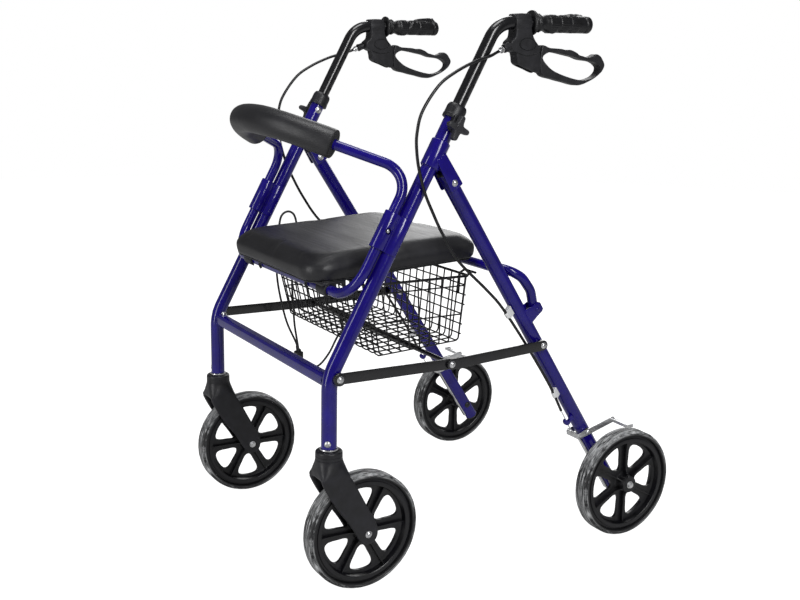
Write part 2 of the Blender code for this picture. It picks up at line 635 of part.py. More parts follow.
def caster_fork(side, word):
    """One-piece fork: a round collar under the leg, and two blades raked back to the axle."""
    name = f"caster_fork_{word}"
    stem = Vector((LEG_FOOT.x, FORK_TOP))
    collar = cylinder(name, at(side, 0, (stem.x, 0.2090)), at(side, 0, stem), 0.0222, 20)
    crown = plate(f"{name}_crown", [[(-0.3470, 0.2200), (-0.3420, 0.2100), (-0.2985, 0.2100),
                                     (-0.3000, 0.2200), (-0.3060, 0.2290), (-0.3400, 0.2290)]],
                  *span(side, -FORK_BLADE_X[1], FORK_BLADE_X[1]))
    boolean(collar, crown, "UNION")
    for end, sign in (("outer", 1), ("inner", -1)):
        blade_outline = [(-0.3470, 0.2200), (-0.3440, 0.1980), (-0.3285, 0.1670), (-0.3085, 0.1390),
                         (-0.2870, 0.1070), (-0.2800, 0.0920), (-0.2720, 0.0838), (-0.2610, 0.0805),
                         (-0.2505, 0.0840), (-0.2440, 0.0930), (-0.2435, 0.1060), (-0.2490, 0.1200),
                         (-0.2640, 0.1480), (-0.2815, 0.1820), (-0.2960, 0.2060), (-0.3000, 0.2200)]
        blade = plate(f"{name}_blade_{end}", [blade_outline],
                      *span(side, sign * FORK_BLADE_X[0], sign * FORK_BLADE_X[1]))
        boolean(collar, blade, "UNION")
    boolean(collar, hole(f"{name}_axle_hole", side, FRONT_AXLE, AXLE_R), "DIFFERENCE")
    stem_bore = cylinder(f"{name}_stem_bore", at(side, 0, (stem.x, 0.19)), at(side, 0, (stem.x, 0.27)),
                         clear_radius(0.0050, 12))
    boolean(collar, stem_bore, "DIFFERENCE")
    keep(collar, BLACK_PLASTIC)


def caster_bolt(side, word):
    """Vertical stem bolt of the caster, with the bright washer between leg and fork."""
    top, foot = LEG_FOOT.y + 0.028, LEG_FOOT.y
    profile = [(0, top), (0.0050, top), (0.0050, foot - GAP), (0.0150, foot - GAP), (0.0150, FORK_TOP + GAP),
               (0.0050, FORK_TOP + GAP), (0.0050, 0.2090 - GAP), (0.0080, 0.2090 - GAP), (0.0080, 0.2045),
               (0, 0.2045)]
    keep(turned(f"caster_bolt_{word}", profile, (side * LEG_X, LEG_FOOT.x, 0), (0, 0, 1), 12), ZINC)


# ---------------------------------------------------------------- rear frame
def rear_leg(side, word):
    """Rear leg with its cross holes, the ear for the seat bail and the cable anchor."""
    name = f"rear_leg_{word}"
    top = PIVOT - DOWN * REAR_LEG_PAST_PIVOT
    bottom = REAR_AXLE + DOWN * REAR_LEG_PAST_AXLE
    leg = cylinder(name, at(side, 0, top), at(side, 0, bottom), LEG_R, 16)
    ear_foot = PIVOT + DOWN * ((BAIL_PIVOT - PIVOT) @ DOWN)
    outline = [ear_foot - DOWN * 0.016, ear_foot + DOWN * 0.016, BAIL_PIVOT + DOWN * 0.010 - BACK * 0.006,
               BAIL_PIVOT + DOWN * 0.010 + BACK * 0.006, BAIL_PIVOT + BACK * 0.0115,
               BAIL_PIVOT - DOWN * 0.010 + BACK * 0.006, BAIL_PIVOT - DOWN * 0.010 - BACK * 0.004]
    ear = plate(f"{name}_ear", [outline], *span(side, -0.0120, 0.0120))
    boolean(leg, ear, "UNION")
    slot = plate(f"{name}_ear_slot", [ring(BAIL_PIVOT, 0.0150, 10, 0.3)], *span(side, -0.0092, 0.0092))
    boolean(leg, slot, "DIFFERENCE")
    foot = Vector((0.1700, 0.2405))
    hook = plate(f"{name}_anchor", [[foot, foot + DOWN * 0.012, foot + DOWN * 0.014 - BACK * 0.024,
                                     foot + DOWN * 0.002 - BACK * 0.030, foot - DOWN * 0.002 - BACK * 0.018]],
                 *span(side, 0.0050, 0.0120))
    boolean(leg, hook, "UNION")
    boolean(leg, hole(f"{name}_pivot_hole", side, PIVOT, 0.0040), "DIFFERENCE")
    boolean(leg, hole(f"{name}_link_hole", side, LINK_REAR, 0.0032), "DIFFERENCE")
    boolean(leg, hole(f"{name}_bail_hole", side, BAIL_PIVOT, 0.0030), "DIFFERENCE")
    boolean(leg, hole(f"{name}_brake_hole", side, BRAKE_PIVOT, 0.0030), "DIFFERENCE")
    boolean(leg, hole(f"{name}_axle_hole", side, REAR_AXLE, AXLE_R), "DIFFERENCE")
    keep(leg, BLUE)


def seat_bail():
    """Bent bar under the seat's rear edge, pivoted in the ears behind the rear legs."""
    half = [at(1, 0, BAIL_PIVOT), at(1, 0, (0.0650, 0.4700)), at(1, 0, (0.0455, 0.4945)),
            at(1, -0.0080, (0.0235, 0.5085)), Vector((0.196, BAIL_TOP.x, BAIL_TOP.y))]
    route = rounded(half + [Vector((-p.x, p.y, p.z)) for p in reversed(half)], 0.034, 4)
    bail = tube("seat_bail", route, SEAT_TUBE_R, 12)
    for word, side in SIDES.items():
        pin = cylinder(f"seat_bail_pin_{word}", at(side, -0.0150, BAIL_PIVOT), at(side, 0.0150, BAIL_PIVOT),
                       0.0030, 10)
        boolean(bail, pin, "UNION")
    keep(bail, BLUE)


def brake_arm(side, word):
    """Rear brake arm: a plate on the leg's outer side, its pivot stud, and the shoe over the tyre."""
    name = f"brake_arm_{word}"
    heel = BRAKE_PIVOT + (BRAKE_PIVOT - SHOE).normalized() * 0.018
    arm = plate(name, [stadium(heel, SHOE, 0.0062, 4)], *span(side, 0.0145, 0.0175))
    outer = REAR_WHEEL_X - LEG_X + WHEEL_HALF + 0.004
    low, high = span(side, 0.0150, outer)
    shoe = box(f"{name}_shoe", (low, SHOE.x - 0.0075, SHOE.y - 0.0022), (high, SHOE.x + 0.0075, SHOE.y + 0.0022))
    stud = cylinder(f"{name}_stud", at(side, -0.0150, BRAKE_PIVOT), at(side, 0.0160, BRAKE_PIVOT), 0.0030, 10)
    cap = cylinder(f"{name}_cap", at(side, 0.0160, BRAKE_PIVOT), at(side, 0.0205, BRAKE_PIVOT), 0.0060, 12)
    for other in (shoe, stud, cap):
        boolean(arm, other, "UNION")
    keep(arm, ZINC)


# ---------------------------------------------------------------- fold linkage
def fold_bar(name, side, ends, offsets, stud_at, boss_out):
    """Flat black bar with its pivot stud in the leg, and a round boss over the stud."""
    bar = plate(name, [stadium(*ends, LINK_HALF_WIDTH, 5)], *span(side, *offsets))
    stud = cylinder(f"{name}_stud", at(side, -0.0100, stud_at), at(side, offsets[1] - 0.001, stud_at), 0.0032, 10)
    boss = cylinder(f"{name}_boss", at(side, offsets[0] + 0.001, stud_at), at(side, boss_out, stud_at), 0.0105, 14)
    boolean(bar, stud, "UNION")
    boolean(bar, boss, "UNION")
    return keep(bar, BLACK_PAINT)


def cross_rod():
    """Rod that joins the two fold bars across the walker, with two lugs for the pull cord's ends."""
    reach = LEG_X + FRONT_LINK_X[0] - GAP
    rod = cylinder("fold_cross_rod", (-reach, *LINK_MID), (reach, *LINK_MID), ROD_R, 10)
    for i, x in enumerate(LUG_X):
        lug = cylinder(f"cord_lug_{i}", (x, *LINK_MID), (x, LINK_MID.x, LINK_MID.y - LUG_DROP), 0.0045, 10)
        boolean(rod, lug, "UNION")
    keep(rod, BLACK_PAINT)


# ---------------------------------------------------------------- seat, basket and cord
def tilted(obj):
    """Turns a seat piece, modelled level about the hinge axis, to the seat's rest angle."""
    place = Matrix.Translation((0, *SEAT_PIVOT)) @ Matrix.Rotation(SEAT_TILT, 4, "X")
    obj.matrix_world = place @ obj.matrix_world
    return obj


def rounded_slab(name, low_z, high_z, inset, corner, edge):
    """A slab with round corners seen from above and softened upper and lower edges."""
    half = SEAT_HALF - inset
    slab = box(name, (-half, SEAT_Y[0] + inset, low_z), (half, SEAT_Y[1] - inset, high_z))
    bm = bmesh.new()
    bm.from_mesh(slab.data)
    uprights = [e for e in bm.edges if abs(e.verts[0].co.z - e.verts[1].co.z) > 0.001]
    bmesh.ops.bevel(bm, geom=uprights, offset=corner, segments=5, affect="EDGES", profile=0.5)
    bm.to_mesh(slab.data)
    bm.free()
    if edge:
        soften = slab.modifiers.new("edges", "BEVEL")
        soften.width = edge
        soften.segments = 2
    return slab


def seat():
    """Cushion on a board, whose two clips hook round the front seat tube."""
    keep(tilted(rounded_slab("seat_pad", *PAD_Z, 0.0, 0.032, 0.009)), VINYL)
    board = rounded_slab("seat_board", *BOARD_Z, 0.006, 0.030, 0.0)
    for word, side in SIDES.items():
        x = side * SEAT_CLIP_X
        clip = cylinder(f"seat_clip_{word}", (x - 0.016, 0, 0), (x + 0.016, 0, 0), 0.0125, 16)
        pedestal = box(f"seat_clip_pad_{word}", (x - 0.016, -0.010, 0.004), (x + 0.016, 0.010, BOARD_Z[0] + 0.002))
        boolean(board, clip, "UNION")
        boolean(board, pedestal, "UNION")
    reach = cylinder("seat_clip_bore", (-0.17, 0, 0), (0.17, 0, 0), clear_radius(SEAT_TUBE_R, 16), 16)
    boolean(board, reach, "DIFFERENCE")
    for obj in [o for o in CUTTERS.objects if o.name.startswith("seat_clip")]:
        tilted(obj)
    keep(tilted(board), BOARD)


def basket():
    """Wire basket, held as an open tub with its true outer shape."""
    bm = bmesh.new()
    rings = []
    for half, front, rear, front_z, rear_z in BASKET_LEVELS:
        corners = ((-half, front, front_z), (half, front, front_z), (half, rear, rear_z), (-half, rear, rear_z))
        rings.append([bm.verts.new(p) for p in corners])
    bm.faces.new(list(reversed(rings[0])))
    for lower, upper in zip(rings, rings[1:]):
        for i in range(4):
            j = (i + 1) % 4
            bm.faces.new((lower[i], lower[j], upper[j], upper[i]))
    tub = mesh_object("basket", bm)
    wall = tub.modifiers.new("wall", "SOLIDIFY")
    wall.thickness = BASKET_WALL
    wall.offset = -1.0
    wall.use_even_offset = True
    keep(tub, WIRE)


CORD_R = 0.0021
LOCK_SLOPE = -1 / 6             # the two strands lean back as they come down through the cord lock
LOCK_Z = (0.2650, 0.2870)


def strand(x, z):
    """A point on the straight stretch of a strand, through the cord lock."""
    return (x, -0.1686 + (z - 0.2890) * LOCK_SLOPE, z)


STRAND_X = (-0.1975, -0.2045)
# the pull cord: from its first lug down, up through the lock, over in a finger loop beside the seat,
# and down again through the lock to its second lug
CORD_ROUTE = [(LUG_X[0], LINK_MID.x, LINK_MID.y - LUG_DROP - 0.0014), (-0.1090, -0.1110, 0.3430),
              (-0.1190, -0.1220, 0.3270), (-0.1380, -0.1300, 0.2910), (-0.1600, -0.1400, 0.2620),
              (-0.1790, -0.1500, 0.2530), strand(STRAND_X[0], 0.2560), strand(STRAND_X[0], 0.2630),
              strand(STRAND_X[0], 0.2890), strand(STRAND_X[0], 0.3000), (-0.1985, -0.1765, 0.3400),
              (-0.1990, -0.1790, 0.3800), (-0.2000, -0.1810, 0.4300), (-0.2000, -0.1760, 0.4900),
              (-0.2000, -0.1710, 0.5310), (-0.2000, -0.1760, 0.5560), (-0.2000, -0.1892, 0.5640),
              (-0.2000, -0.2030, 0.5560), (-0.2000, -0.2090, 0.5310), (-0.2010, -0.2150, 0.4900),
              (-0.2020, -0.2110, 0.4300), (-0.2030, -0.2010, 0.3800), (-0.2040, -0.1890, 0.3400),
              strand(STRAND_X[1], 0.3000), strand(STRAND_X[1], 0.2890), strand(STRAND_X[1], 0.2630),
              strand(STRAND_X[1], 0.2560), (-0.1980, -0.1522, 0.2380), (-0.1780, -0.1303, 0.2262),
              (-0.1600, -0.1110, 0.2510), (-0.1460, -0.1005, 0.2900), (-0.1360, -0.1010, 0.3250),
              (-0.1300, -0.1050, 0.3460), (LUG_X[1], LINK_MID.x, LINK_MID.y - LUG_DROP - 0.0014)]


def pull_cord():
    keep(tube("pull_cord", smooth_route(CORD_ROUTE, 78), CORD_R, 8), CORD)


def cord_lock():
    """Small cord lock that gathers the two strands."""
    middle = sum(STRAND_X) / 2
    lock = box("cord_lock", (middle - 0.0085, -0.1740, LOCK_Z[0]), (middle + 0.0085, -0.1590, LOCK_Z[1]))
    edges = lock.modifiers.new("edges", "BEVEL")
    edges.width = 0.0025
    edges.segments = 2
    for i, x in enumerate(STRAND_X):
        bore = cylinder(f"cord_lock_bore_{i}", strand(x, 0.2600), strand(x, 0.2920),
                        clear_radius(CORD_R, 10) + GAP, 10)
        boolean(lock, bore, "DIFFERENCE")
    keep(lock, CORD)


# ---------------------------------------------------------------- assembly
for word, side in SIDES.items():
    front_leg(side, word)
    hinge_bracket(side, word)
    hinge_bolt(side, word)
    seat_clamp(side, word)
    height_collar(side, word)
    star_knob(side, word)
    handle_tube(side, word)
    grip(side, word)
    brake_housing(side, word)
    brake_lever(side, word)
    cable_adjuster(side, word)
    brake_cable(side, word)
    caster_fork(side, word)
    caster_bolt(side, word)
    rear_leg(side, word)
    brake_arm(side, word)
    front_centre = at(side, 0, FRONT_AXLE)
    rear_centre = Vector((side * REAR_WHEEL_X, *REAR_AXLE))
    wheel_rim(f"front_rim_{word}", front_centre, 0.0170, 90)
    tyre(f"front_tyre_{word}", front_centre)
    axle(f"front_axle_{word}", front_centre, -0.0312, 0.0329, side)
    wheel_rim(f"rear_rim_{word}", rear_centre, 0.0210, 60)
    tyre(f"rear_tyre_{word}", rear_centre)
    axle(f"rear_axle_{word}", rear_centre, -0.0640, 0.0275, side)
    fold_bar(f"front_link_{word}", side, (LINK_FRONT, LINK_MID), FRONT_LINK_X, LINK_FRONT, 0.0225)
    fold_bar(f"rear_link_{word}", side, (LINK_MID, LINK_REAR), REAR_LINK_X, LINK_REAR, 0.0250)

cross_tube()
seat_front_tube()
backrest()
seat_bail()
cross_rod()
seat()
basket()
pull_cord()
cord_lock()
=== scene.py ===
"""Rollator walker: the detailed model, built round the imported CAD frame."""
import json
import math

import bmesh
import bpy
import numpy as np
from mathutils import Matrix, Vector, noise


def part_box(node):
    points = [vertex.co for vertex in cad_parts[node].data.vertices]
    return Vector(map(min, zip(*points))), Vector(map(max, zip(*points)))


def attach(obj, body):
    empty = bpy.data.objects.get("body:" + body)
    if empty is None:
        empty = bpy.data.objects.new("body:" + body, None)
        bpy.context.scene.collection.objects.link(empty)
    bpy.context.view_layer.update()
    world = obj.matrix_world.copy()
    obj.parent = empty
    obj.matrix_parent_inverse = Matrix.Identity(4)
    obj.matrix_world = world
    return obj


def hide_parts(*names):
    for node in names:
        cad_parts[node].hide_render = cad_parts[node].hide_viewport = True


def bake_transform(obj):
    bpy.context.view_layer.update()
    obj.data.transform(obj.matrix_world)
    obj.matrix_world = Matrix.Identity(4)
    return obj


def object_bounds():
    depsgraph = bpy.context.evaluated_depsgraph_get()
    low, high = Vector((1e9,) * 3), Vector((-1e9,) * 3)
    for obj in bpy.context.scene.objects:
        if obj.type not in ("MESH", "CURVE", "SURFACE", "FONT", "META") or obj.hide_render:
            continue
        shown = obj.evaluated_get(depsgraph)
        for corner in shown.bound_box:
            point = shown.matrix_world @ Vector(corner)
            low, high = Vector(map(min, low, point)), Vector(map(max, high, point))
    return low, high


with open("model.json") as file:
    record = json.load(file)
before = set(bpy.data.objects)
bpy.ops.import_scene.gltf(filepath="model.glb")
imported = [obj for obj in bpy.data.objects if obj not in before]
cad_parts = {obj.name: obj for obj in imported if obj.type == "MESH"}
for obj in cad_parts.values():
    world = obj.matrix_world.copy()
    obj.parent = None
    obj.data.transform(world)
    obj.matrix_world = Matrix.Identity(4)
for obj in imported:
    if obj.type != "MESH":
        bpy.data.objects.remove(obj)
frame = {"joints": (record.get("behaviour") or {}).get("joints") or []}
CAD_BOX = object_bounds()
SIDES = {"left": 1.0, "right": -1.0}
JOINTS = {j["name"]: j for j in frame["joints"]}
SCENE = bpy.context.scene.collection


def joint_yz(name):
    """(y, z) of a hinge along X."""
    return Vector(JOINTS[name]["pos_m"][1:])


def middle(node):
    """The middle of a CAD node's box."""
    low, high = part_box(node)
    return (low + high) / 2


# ---------------------------------------------------------------- the CAD's own dimensions, repeated
LEG_X, LEG_R = 0.2385, 0.0127
LEG_FOOT = Vector((-0.3222, 0.2508))
LEG_CORNER = Vector((-0.3222, 0.3654))
LEAN = math.radians(28.4)
ALONG = Vector((math.sin(LEAN), math.cos(LEAN)))
ACROSS = Vector((-math.cos(LEAN), math.sin(LEAN)))
LEG_TOP = LEG_CORNER + ALONG * 0.4577
HANDLE_R, HANDLE_Z = 0.0105, 0.915
GRIP_Y = (0.0385, 0.1620)
PIVOT = joint_yz("fold")
REAR_AXLE = joint_yz("rear_wheel_roll_left")
FRONT_AXLE = joint_yz("front_wheel_roll_left")
REAR_WHEEL_X = JOINTS["rear_wheel_roll_left"]["pos_m"][0]
DOWN = (REAR_AXLE - PIVOT).normalized()
BACK = Vector((-DOWN.y, DOWN.x))
LINK_FRONT = joint_yz("links_front_turn")
LINK_REAR = joint_yz("links_rear_turn")
LINK_MID = Vector((-0.1062, 0.3651))
SEAT_TUBE_R = 0.0085
SLEEVE_OFFSET = 0.0242
SLEEVE_Z = (0.5650, 0.6200)
SEAT_PIVOT = joint_yz("seat_flip")
SEAT_TILT = math.radians(3.5)
BAIL_PIVOT = joint_yz("bail_swing")
BAIL_TOP = Vector((0.0080, 0.5095))
BOW_END = Vector((0.154, -0.2742, 0.7214))
BOW_MID = Vector((0.0, -0.3453, 0.7540))
LEVER_PIVOT = joint_yz("brake_lever_left")
BRAKE_PIVOT = joint_yz("brake_shoe_left")
SHOE = Vector((0.2560, 0.2120))
GROUND_Z = CAD_BOX[0].z


# ---------------------------------------------------------------- mesh tools
def mesh_object(name, bm):
    mesh = bpy.data.meshes.new(name)
    bm.to_mesh(mesh)
    bm.free()
    obj = bpy.data.objects.new(name, mesh)
    SCENE.objects.link(obj)
    return obj


def skinned(name, bm, rings):
    """A closed body whose skin runs over rings of equally many vertices, with a face at each end."""
    for a, b in zip(rings, rings[1:]):
        for k in range(len(a)):
            j = (k + 1) % len(a)
            bm.faces.new((a[k], a[j], b[j], b[k]))
    bm.faces.new(list(reversed(rings[0])))
    bm.faces.new(rings[-1])
    bmesh.ops.recalc_face_normals(bm, faces=bm.faces)
    return mesh_object(name, bm)


def baked(obj):
    """The object with its modifiers applied, or a curve made a mesh with welded caps."""
    bpy.context.view_layer.update()
    shape = obj.evaluated_get(bpy.context.evaluated_depsgraph_get())
    mesh = bpy.data.meshes.new_from_object(shape)
    place = obj.matrix_world.copy()
    name = obj.name
    bpy.data.objects.remove(obj, do_unlink=True)
    bm = bmesh.new()
    bm.from_mesh(mesh)
    bmesh.ops.remove_doubles(bm, verts=bm.verts, dist=1e-6)
    bmesh.ops.transform(bm, matrix=place, verts=bm.verts)
    bpy.data.meshes.remove(mesh)
    return mesh_object(name, bm)


def smooth(obj, angle=35.0):
    obj.data.shade_smooth()
    obj.data.set_sharp_from_angle(angle=math.radians(angle))
    return obj


def carve(obj, others, operation="DIFFERENCE"):
    """Booleans obj with each of the others, and removes them."""
    for other in others:
        step = obj.modifiers.new("cut", "BOOLEAN")
        step.operation = operation
        step.solver = "EXACT"
        step.object = other
    obj = baked(obj)
    for other in others:
        bpy.data.objects.remove(other, do_unlink=True)
    return obj


def join(obj, *others):
    """One object that holds all of these meshes, as loose shells."""
    bm = bmesh.new()
    for o in (obj, *others):
        mesh = o.data.copy()
        mesh.transform(o.matrix_world)
        bm.from_mesh(mesh)
        bpy.data.meshes.remove(mesh)
    name = obj.name
    for o in (obj, *others):
        bpy.data.objects.remove(o, do_unlink=True)
    return mesh_object(name, bm)


def soften(obj, width, segments=2, angle=30.0):
    """Rounds the object's hard edges."""
    step = obj.modifiers.new("edges", "BEVEL")
    step.width = width
    step.segments = segments
    step.limit_method = "ANGLE"
    step.angle_limit = math.radians(angle)
    step.harden_normals = False
    return baked(obj)


def mirrored(obj, side):
    """A piece made on the left, for the left side as it is, or mirrored for the right."""
    if side < 0:
        bm = bmesh.new()
        bm.from_mesh(obj.data)
        bmesh.ops.scale(bm, vec=(-1, 1, 1), verts=bm.verts)
        bmesh.ops.reverse_faces(bm, faces=bm.faces)
        bm.to_mesh(obj.data)
        bm.free()
    return obj


def cylinder(name, start, end, radius, sides=40, edge=0.0):
    start, end = Vector(start), Vector(end)
    bm = bmesh.new()
    bmesh.ops.create_cone(bm, cap_ends=True, segments=sides, radius1=radius, radius2=radius,
                          depth=(end - start).length)
    if edge:
        rims = [e for e in bm.edges if abs(e.verts[0].co.z - e.verts[1].co.z) < 1e-6]
        bmesh.ops.bevel(bm, geom=rims, offset=edge, segments=3, affect="EDGES", profile=0.5)
    turn = (end - start).to_track_quat("Z", "Y").to_matrix().to_4x4()
    bmesh.ops.transform(bm, matrix=Matrix.Translation((start + end) / 2) @ turn, verts=bm.verts)
    return mesh_object(name, bm)


def box(name, low, high, edge=0.0, segments=3):
    low, high = Vector(low), Vector(high)
    bm = bmesh.new()
    bmesh.ops.create_cube(bm, size=1.0)
    fit = Matrix.Translation((low + high) / 2) @ Matrix.Diagonal((*(high - low), 1.0))
    bmesh.ops.transform(bm, matrix=fit, verts=bm.verts)
    if edge:
        bmesh.ops.bevel(bm, geom=list(bm.edges), offset=edge, segments=segments, affect="EDGES", profile=0.5)
    return mesh_object(name, bm)


def rounded(points, radius, steps=14):
    """A route whose inner corners are arcs of the given radius."""
    points = [Vector(p) for p in points]
    route = [points[0]]
    for before, corner, after in zip(points, points[1:], points[2:]):
        into, out = (corner - before).normalized(), (after - corner).normalized()
        turn = into.angle(out)
        if turn < math.radians(2.0):
            route.append(corner)
            continue
        reach = radius * math.tan(turn / 2)
        centre = corner + (out - into).normalized() * (radius / math.cos(turn / 2))
        first = corner - into * reach - centre
        axis = into.cross(out).normalized()
        for i in range(steps + 1):
            route.append(centre + Matrix.Rotation(turn * i / steps, 3, axis) @ first)
    route.append(points[-1])
    return route


def smooth_route(points, count):
    """A Catmull-Rom curve through given points."""
    points = [Vector(p) for p in points]
    ends = [2 * points[0] - points[1], *points, 2 * points[-1] - points[-2]]
    route = []
    for i in range(count + 1):
        place = i / count * (len(points) - 1)
        k = min(int(place), len(points) - 2)
        t = place - k
        a, b, c, d = ends[k:k + 4]
        route.append(0.5 * (2 * b + (c - a) * t + (2 * a - 5 * b + 4 * c - d) * t ** 2
                            + (3 * b - 3 * c + d - a) * t ** 3))
    return route


def tube(name, routes, radius, sides=32, cyclic=False):
    """Round bars that follow routes, as one mesh object."""
    if isinstance(routes[0], Vector):
        routes = [routes]
    curve = bpy.data.curves.new(name, "CURVE")
    curve.dimensions = "3D"
    curve.bevel_depth = radius
    curve.bevel_resolution = sides // 2 - 2
    curve.use_fill_caps = True
    for route in routes:
        line = curve.splines.new("POLY")
        line.points.add(len(route) - 1)
        line.use_cyclic_u = cyclic
        for spot, place in zip(line.points, route):
            spot.co = (*place, 1.0)
    obj = bpy.data.objects.new(name, curve)
    SCENE.objects.link(obj)
    return smooth(baked(obj), 50.0)


def plate(name, loops, x_low, x_high, edge=0.0, steps=3):
    """A flat outline in the (y, z) plane, with holes, between two X planes, with rounded edges."""
    curve = bpy.data.curves.new(name, "CURVE")
    curve.dimensions = "2D"
    curve.fill_mode = "BOTH"
    curve.extrude = abs(x_high - x_low) / 2 - edge
    curve.bevel_depth = edge
    curve.bevel_resolution = steps if edge else 0
    curve.offset = -edge
    for loop in loops:
        line = curve.splines.new("POLY")
        line.points.add(len(loop) - 1)
        line.use_cyclic_u = True
        for spot, place in zip(line.points, loop):
            spot.co = (place[0], place[1], 0.0, 1.0)
    obj = bpy.data.objects.new(name, curve)
    SCENE.objects.link(obj)
    to_yz = Matrix(((0, 0, 1, 0), (1, 0, 0, 0), (0, 1, 0, 0), (0, 0, 0, 1)))
    obj.matrix_world = Matrix.Translation(((x_low + x_high) / 2, 0, 0)) @ to_yz
    return baked(obj)


def turned(name, profile, origin, axis, steps=64):
    """A turned piece from (radius, height) points, top down the outer side, about an axis."""
    bm = bmesh.new()
    turn = Vector(axis).to_track_quat("Z", "Y").to_matrix().to_4x4()
    place = Matrix.Translation(Vector(origin)) @ turn
    rows = []
    for r, h in profile:
        angles = [2 * math.pi * i / steps for i in range(steps if r > 0 else 1)]
        rows.append([bm.verts.new(place @ Vector((r * math.cos(a), r * math.sin(a), h))) for a in angles])
    for low, high in zip(rows, rows[1:] + (rows[:1] if profile[0][0] > 0 else [])):
        for i in range(steps):
            corners = [row[k % len(row)] for row, k in ((low, i), (low, i + 1), (high, i + 1), (high, i))]
            bm.faces.new(list(dict.fromkeys(corners)))
    bmesh.ops.recalc_face_normals(bm, faces=bm.faces)
    return mesh_object(name, bm)


def fillets(profile, radius, steps=3):
    """The same profile with its corners rounded, for a turned piece."""
    made = [profile[0]]
    for a, b, c in zip(profile, profile[1:], profile[2:]):
        a, b, c = Vector(a), Vector(b), Vector(c)
        reach = min(radius, (a - b).length * 0.45, (c - b).length * 0.45)
        into, out = b + (a - b).normalized() * reach, b + (c - b).normalized() * reach
        for i in range(steps + 1):
            t = i / steps
            made.append(tuple(into * (1 - t) ** 2 + b * 2 * t * (1 - t) + out * t ** 2))
    made.append(profile[-1])
    return made


def ring(centre, radius, count, start=0.0):
    return [(centre[0] + radius * math.cos(start + 2 * math.pi * i / count),
             centre[1] + radius * math.sin(start + 2 * math.pi * i / count)) for i in range(count)]


def stadium(a, b, half_width, steps=12):
    """Outline of a flat bar with round ends."""
    a, b = Vector(a), Vector(b)
    heading = math.atan2((b - a).y, (b - a).x)
    points = []
    for centre, start in ((b, heading - math.pi / 2), (a, heading + math.pi / 2)):
        for i in range(steps + 1):
            angle = start + math.pi * i / steps
            points.append((centre.x + half_width * math.cos(angle), centre.y + half_width * math.sin(angle)))
    return points


def spline_loop(points, steps=6):
    """A closed smooth outline through (y, z) points."""
    count, made = len(points), []
    for k in range(count):
        a, b, c, d = (Vector(points[(k + i - 1) % count]) for i in range(4))
        for i in range(steps):
            t = i / steps
            made.append(tuple(0.5 * (2 * b + (c - a) * t + (2 * a - 5 * b + 4 * c - d) * t ** 2
                                     + (3 * b - 3 * c + d - a) * t ** 3)))
    return made


def at(side, offset, yz):
    return Vector((side * (LEG_X + offset), yz[0], yz[1]))


def span(side, low, high):
    return sorted((side * (LEG_X + low), side * (LEG_X + high)))


def off_leg(origin, *steps):
    """Points at (down, back) steps from a place, along and across the rear leg."""
    return [origin + DOWN * down + BACK * back for down, back in steps]


def both_sides(half):
    """A route from the left side, carried on to the right as its mirror image."""
    return half + [Vector((-p.x, p.y, p.z)) for p in reversed(half)]


def leg_axis(z):
    """(y, z) of the front leg's axis at a height."""
    return LEG_CORNER + ALONG * ((z - LEG_CORNER.y) / ALONG.y)


def sleeve_axis(z):
    return leg_axis(z - SLEEVE_OFFSET * ACROSS.y) + ACROSS * SLEEVE_OFFSET


